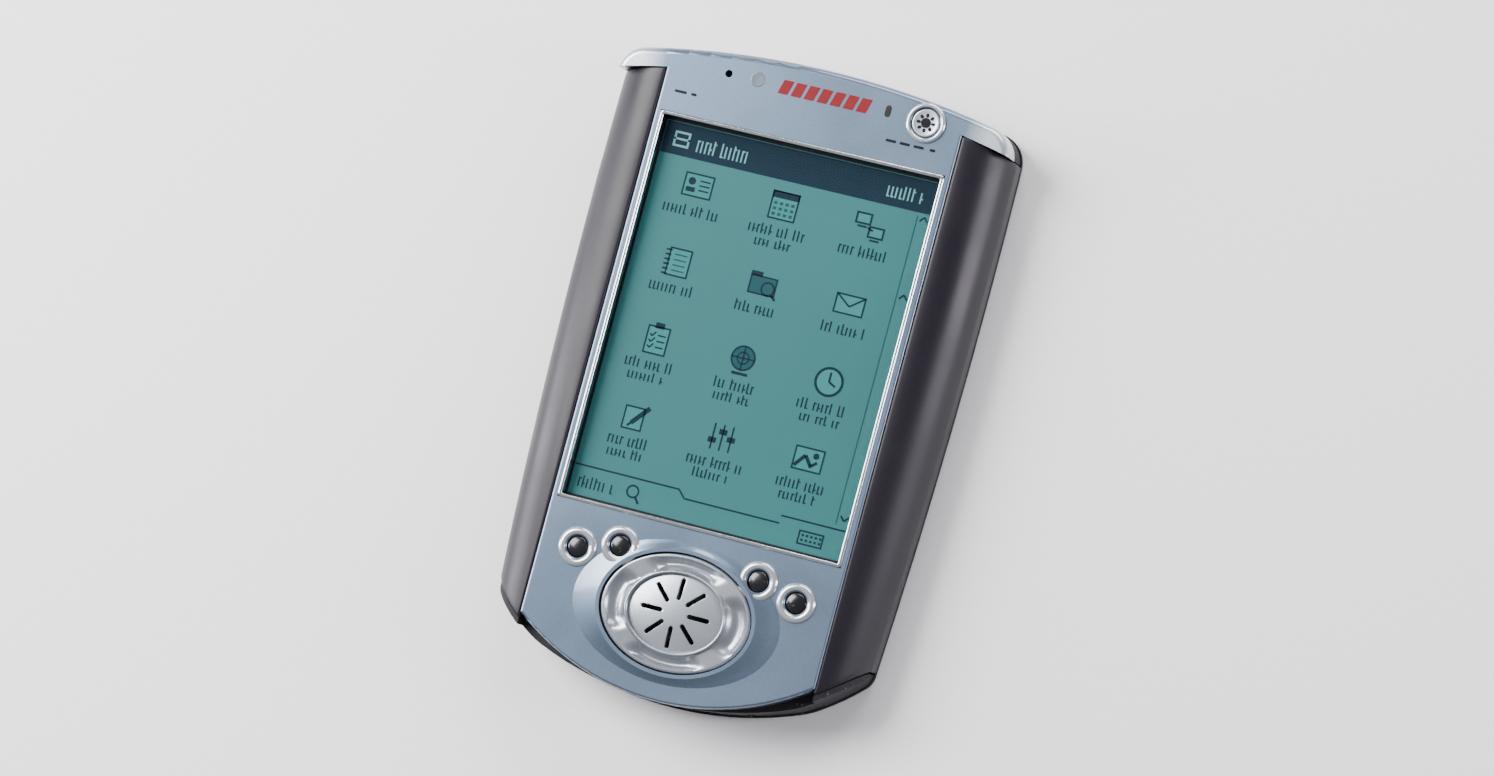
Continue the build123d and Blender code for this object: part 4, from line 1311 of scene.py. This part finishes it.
class HANDHELD_OT_contacts(bpy.types.Operator):
    """Build the gold contacts, the audio socket's ring and the speaker cloth"""

    bl_idname = "handheld.contacts"
    bl_label = "Contacts"

    def execute(self, context):
        gold = finishes()["gold"]
        mouth_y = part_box("dock_connector")[0].y
        rows = [contact_row("dock_contacts", "dock_connector", 18, 17.0 * MM, (5.22 * MM, 5.42 * MM),
                            (mouth_y + 1.3 * MM, mouth_y + 4.6 * MM))]
        for side in (-1, 1):
            y = middle("expansion_connector").y + side * 0.55 * MM
            rows.append(contact_row(f"expansion_contacts_{side + 2}", "expansion_connector", 40, 41.0 * MM,
                                    (1.5 * MM, 3.8 * MM), (y - 0.12 * MM, y + 0.12 * MM)))
        for row in rows:
            finish_piece(row, "case", gold)
        self.audio_ring()
        self.speaker_cloth()
        return {"FINISHED"}

    def audio_ring(self):
        """Turned ring at the mouth of the audio socket."""
        centre = middle("headphone_jack")
        mouth_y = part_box("headphone_jack")[1].y
        rings = []
        for r, y in ((1.80, -0.5), (1.80, 0.0), (1.95, 0.08), (2.45, 0.08), (2.55, 0.0), (2.55, -0.5)):
            ring = []
            for i in range(64):
                turn = 2 * math.pi * i / 64
                ring.append(Vector((centre.x + r * MM * math.cos(turn), mouth_y + y * MM,
                                    centre.z + r * MM * math.sin(turn))))
            rings.append(ring)
        ring = loft_rings("audio_socket_ring", rings + [rings[0]], False, False)
        smooth_by_angle(ring, 40.0)
        finish_piece(ring, "case", finishes()["steel"])

    def speaker_cloth(self):
        """Round of cloth stretched over the speaker, seen through the slots."""
        centre = middle("speaker")
        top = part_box("speaker")[1].z
        reach = span("speaker").x / 2
        rings = [oval_ring(centre, reach * share, reach * share, top + (0.12 - 0.1 * share) * MM, 48)
                 for share in (0.97, 0.8, 0.6, 0.4, 0.2, 0.02)]
        cloth = loft_rings("speaker_cloth", rings)
        finish_piece(cloth, "case", finishes()["cloth"])


# ---------------------------------------------------------------- frame pieces
class HANDHELD_OT_frame_finishes(bpy.types.Operator):
    """Give every carried-over node its finish"""

    bl_idname = "handheld.frame_finishes"
    bl_label = "Frame Finishes"

    def execute(self, context):
        slots = {part["node"]: part["material_slot"] for part in frame["record"]["subparts"]}
        own = {"charge_light_pipe": "pipe", "light_sensor_lens": "sensor"}
        for node, piece in frame["nodes"].items():
            if slots.get(node) not in finishes():
                raise RuntimeError(f"no finish for {node}")
            piece.data.materials.clear()
            piece.data.materials.append(finishes()[own.get(node, slots[node])])
            smooth_by_angle(piece, 32.0)
        return {"FINISHED"}


# ---------------------------------------------------------------- stage
LILAC = (0.96, 0.92, 1.0)


def area_light(name, place, target, size, power, colour=(1.0, 1.0, 1.0)):
    """A soft rectangular light aimed at a point."""
    lamp = bpy.data.lights.new(name, "AREA")
    lamp.shape = "RECTANGLE"
    lamp.size, lamp.size_y = size
    lamp.energy = power
    lamp.color = colour
    light = bpy.data.objects.new(name, lamp)
    light.location = place
    light.rotation_euler = (target - Vector(place)).to_track_quat("-Z", "Y").to_euler()
    bpy.context.scene.collection.objects.link(light)
    return light


def floor_material():
    """Pale matt backdrop paper."""
    finish = Finish("backdrop_paper")
    fibre = effect(finish.tree, "grain", Scale=700.0, Roundness=0.1)
    finish.tinted((0.84, 0.84, 0.845, 1.0), fibre.outputs["Speckle"], (0.86, 0.86, 0.865, 1.0))
    finish.roughness(fibre.outputs["Speckle"], 0.75, 0.85)
    finish.bump(fibre.outputs["Height"], 0.05, 0.05 * MM)
    return finish.material


class HANDHELD_OT_stage(bpy.types.Operator):
    """Set up the floor, the soft lights and the camera"""

    bl_idname = "handheld.stage"
    bl_label = "Stage"

    def execute(self, context):
        settings = context.scene.handheld_stage
        self.floor()
        target = Vector((0.0, 0.0, FACE_Z / 2))
        power = settings.key_power
        area_light("key_softbox", (-0.52, 0.22, 0.58), target, (0.42, 0.50), power)
        area_light("right_softbox", (0.74, 0.12, 0.17), target, (0.16, 0.60), power * 0.42, LILAC)
        area_light("top_softbox", (0.10, 0.80, 0.42), target, (0.70, 0.22), power * 0.50)
        area_light("left_softbox", (-0.74, -0.05, 0.10), target, (0.18, 0.70), power * 0.62, LILAC)
        self.world(context)
        self.camera(context, settings, target)
        return {"FINISHED"}

    def floor(self):
        """A wide sheet of backdrop paper under the object."""
        sheet = bmesh.new()
        bmesh.ops.create_grid(sheet, x_segments=40, y_segments=40, size=3.0)
        mesh = bpy.data.meshes.new("backdrop")
        sheet.to_mesh(mesh)
        sheet.free()
        backdrop = mesh_object("backdrop", mesh)
        mesh.materials.append(floor_material())

    def world(self, context):
        """An even pale surround."""
        world = bpy.data.worlds.new("studio")
        world.use_nodes = True
        ground = world.node_tree.nodes["Background"]
        ground.inputs["Color"].default_value = (0.93, 0.95, 1.0, 1.0)
        ground.inputs["Strength"].default_value = 0.42
        context.scene.world = world

    def camera(self, context, settings, target):
        """A long lens nearly straight above, turned so that the object leans to the right."""
        yaw, pitch = settings.yaw, settings.pitch
        towards = Vector((math.sin(yaw) * math.cos(pitch), -math.sin(pitch), math.cos(yaw) * math.cos(pitch)))
        up = Vector((0.0, 1.0, 0.0))
        up = (up - towards * up.dot(towards)).normalized()
        right = up.cross(towards)
        turned_up = up * math.cos(settings.roll) - right * math.sin(settings.roll)
        turned_right = turned_up.cross(towards)
        lens = bpy.data.cameras.new("camera")
        lens.lens = settings.lens
        lens.clip_end = 20.0
        camera = bpy.data.objects.new("camera", lens)
        place = target + towards * settings.distance
        axes = Matrix((turned_right, turned_up, towards)).transposed()
        camera.matrix_world = Matrix.Translation(place) @ axes.to_4x4()
        context.scene.collection.objects.link(camera)
        context.scene.camera = camera


# ---------------------------------------------------------------- panel and registration
class HANDHELD_PT_sidebar(bpy.types.Panel):
    """Lists the steps that build the looks"""

    bl_idname = "HANDHELD_PT_sidebar"
    bl_label = "Handheld"
    bl_space_type = "VIEW_3D"
    bl_region_type = "UI"
    bl_category = "Handheld"

    def draw(self, context):
        layout = self.layout
        scene = context.scene
        for settings in (scene.handheld_shell, scene.handheld_screen, scene.handheld_stage):
            box = layout.box()
            for name in settings.__annotations__:
                box.prop(settings, name)
        for step in STEPS:
            layout.operator(step.bl_idname)


STEPS = (
    HANDHELD_OT_frame_finishes,
    HANDHELD_OT_grips,
    HANDHELD_OT_nav_pad,
    HANDHELD_OT_app_keys,
    HANDHELD_OT_power_key,
    HANDHELD_OT_screen_picture,
    HANDHELD_OT_face_marks,
    HANDHELD_OT_contacts,
    HANDHELD_OT_stage,
)
SETTINGS = {
    "handheld_shell": ShellSettings,
    "handheld_screen": ScreenSettings,
    "handheld_stage": StageSettings,
}


def register():
    """Registers the settings, the operators and the panel."""
    for name, group in SETTINGS.items():
        bpy.utils.register_class(group)
        setattr(bpy.types.Scene, name, bpy.props.PointerProperty(type=group))
    for step in STEPS:
        bpy.utils.register_class(step)
    bpy.utils.register_class(HANDHELD_PT_sidebar)


def unregister():
    """Removes everything that register added."""
    bpy.utils.unregister_class(HANDHELD_PT_sidebar)
    for step in reversed(STEPS):
        bpy.utils.unregister_class(step)
    for name, group in SETTINGS.items():
        delattr(bpy.types.Scene, name)
        bpy.utils.unregister_class(group)


def main():
    """Registers the add-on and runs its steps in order."""
    register()
    bpy.ops.handheld.frame_finishes()
    bpy.ops.handheld.grips()
    bpy.ops.handheld.nav_pad()
    bpy.ops.handheld.app_keys()
    bpy.ops.handheld.power_key()
    bpy.ops.handheld.screen_picture()
    bpy.ops.handheld.face_marks()
    bpy.ops.handheld.contacts()
    bpy.ops.handheld.stage()


if __name__ == "__main__":
    main()
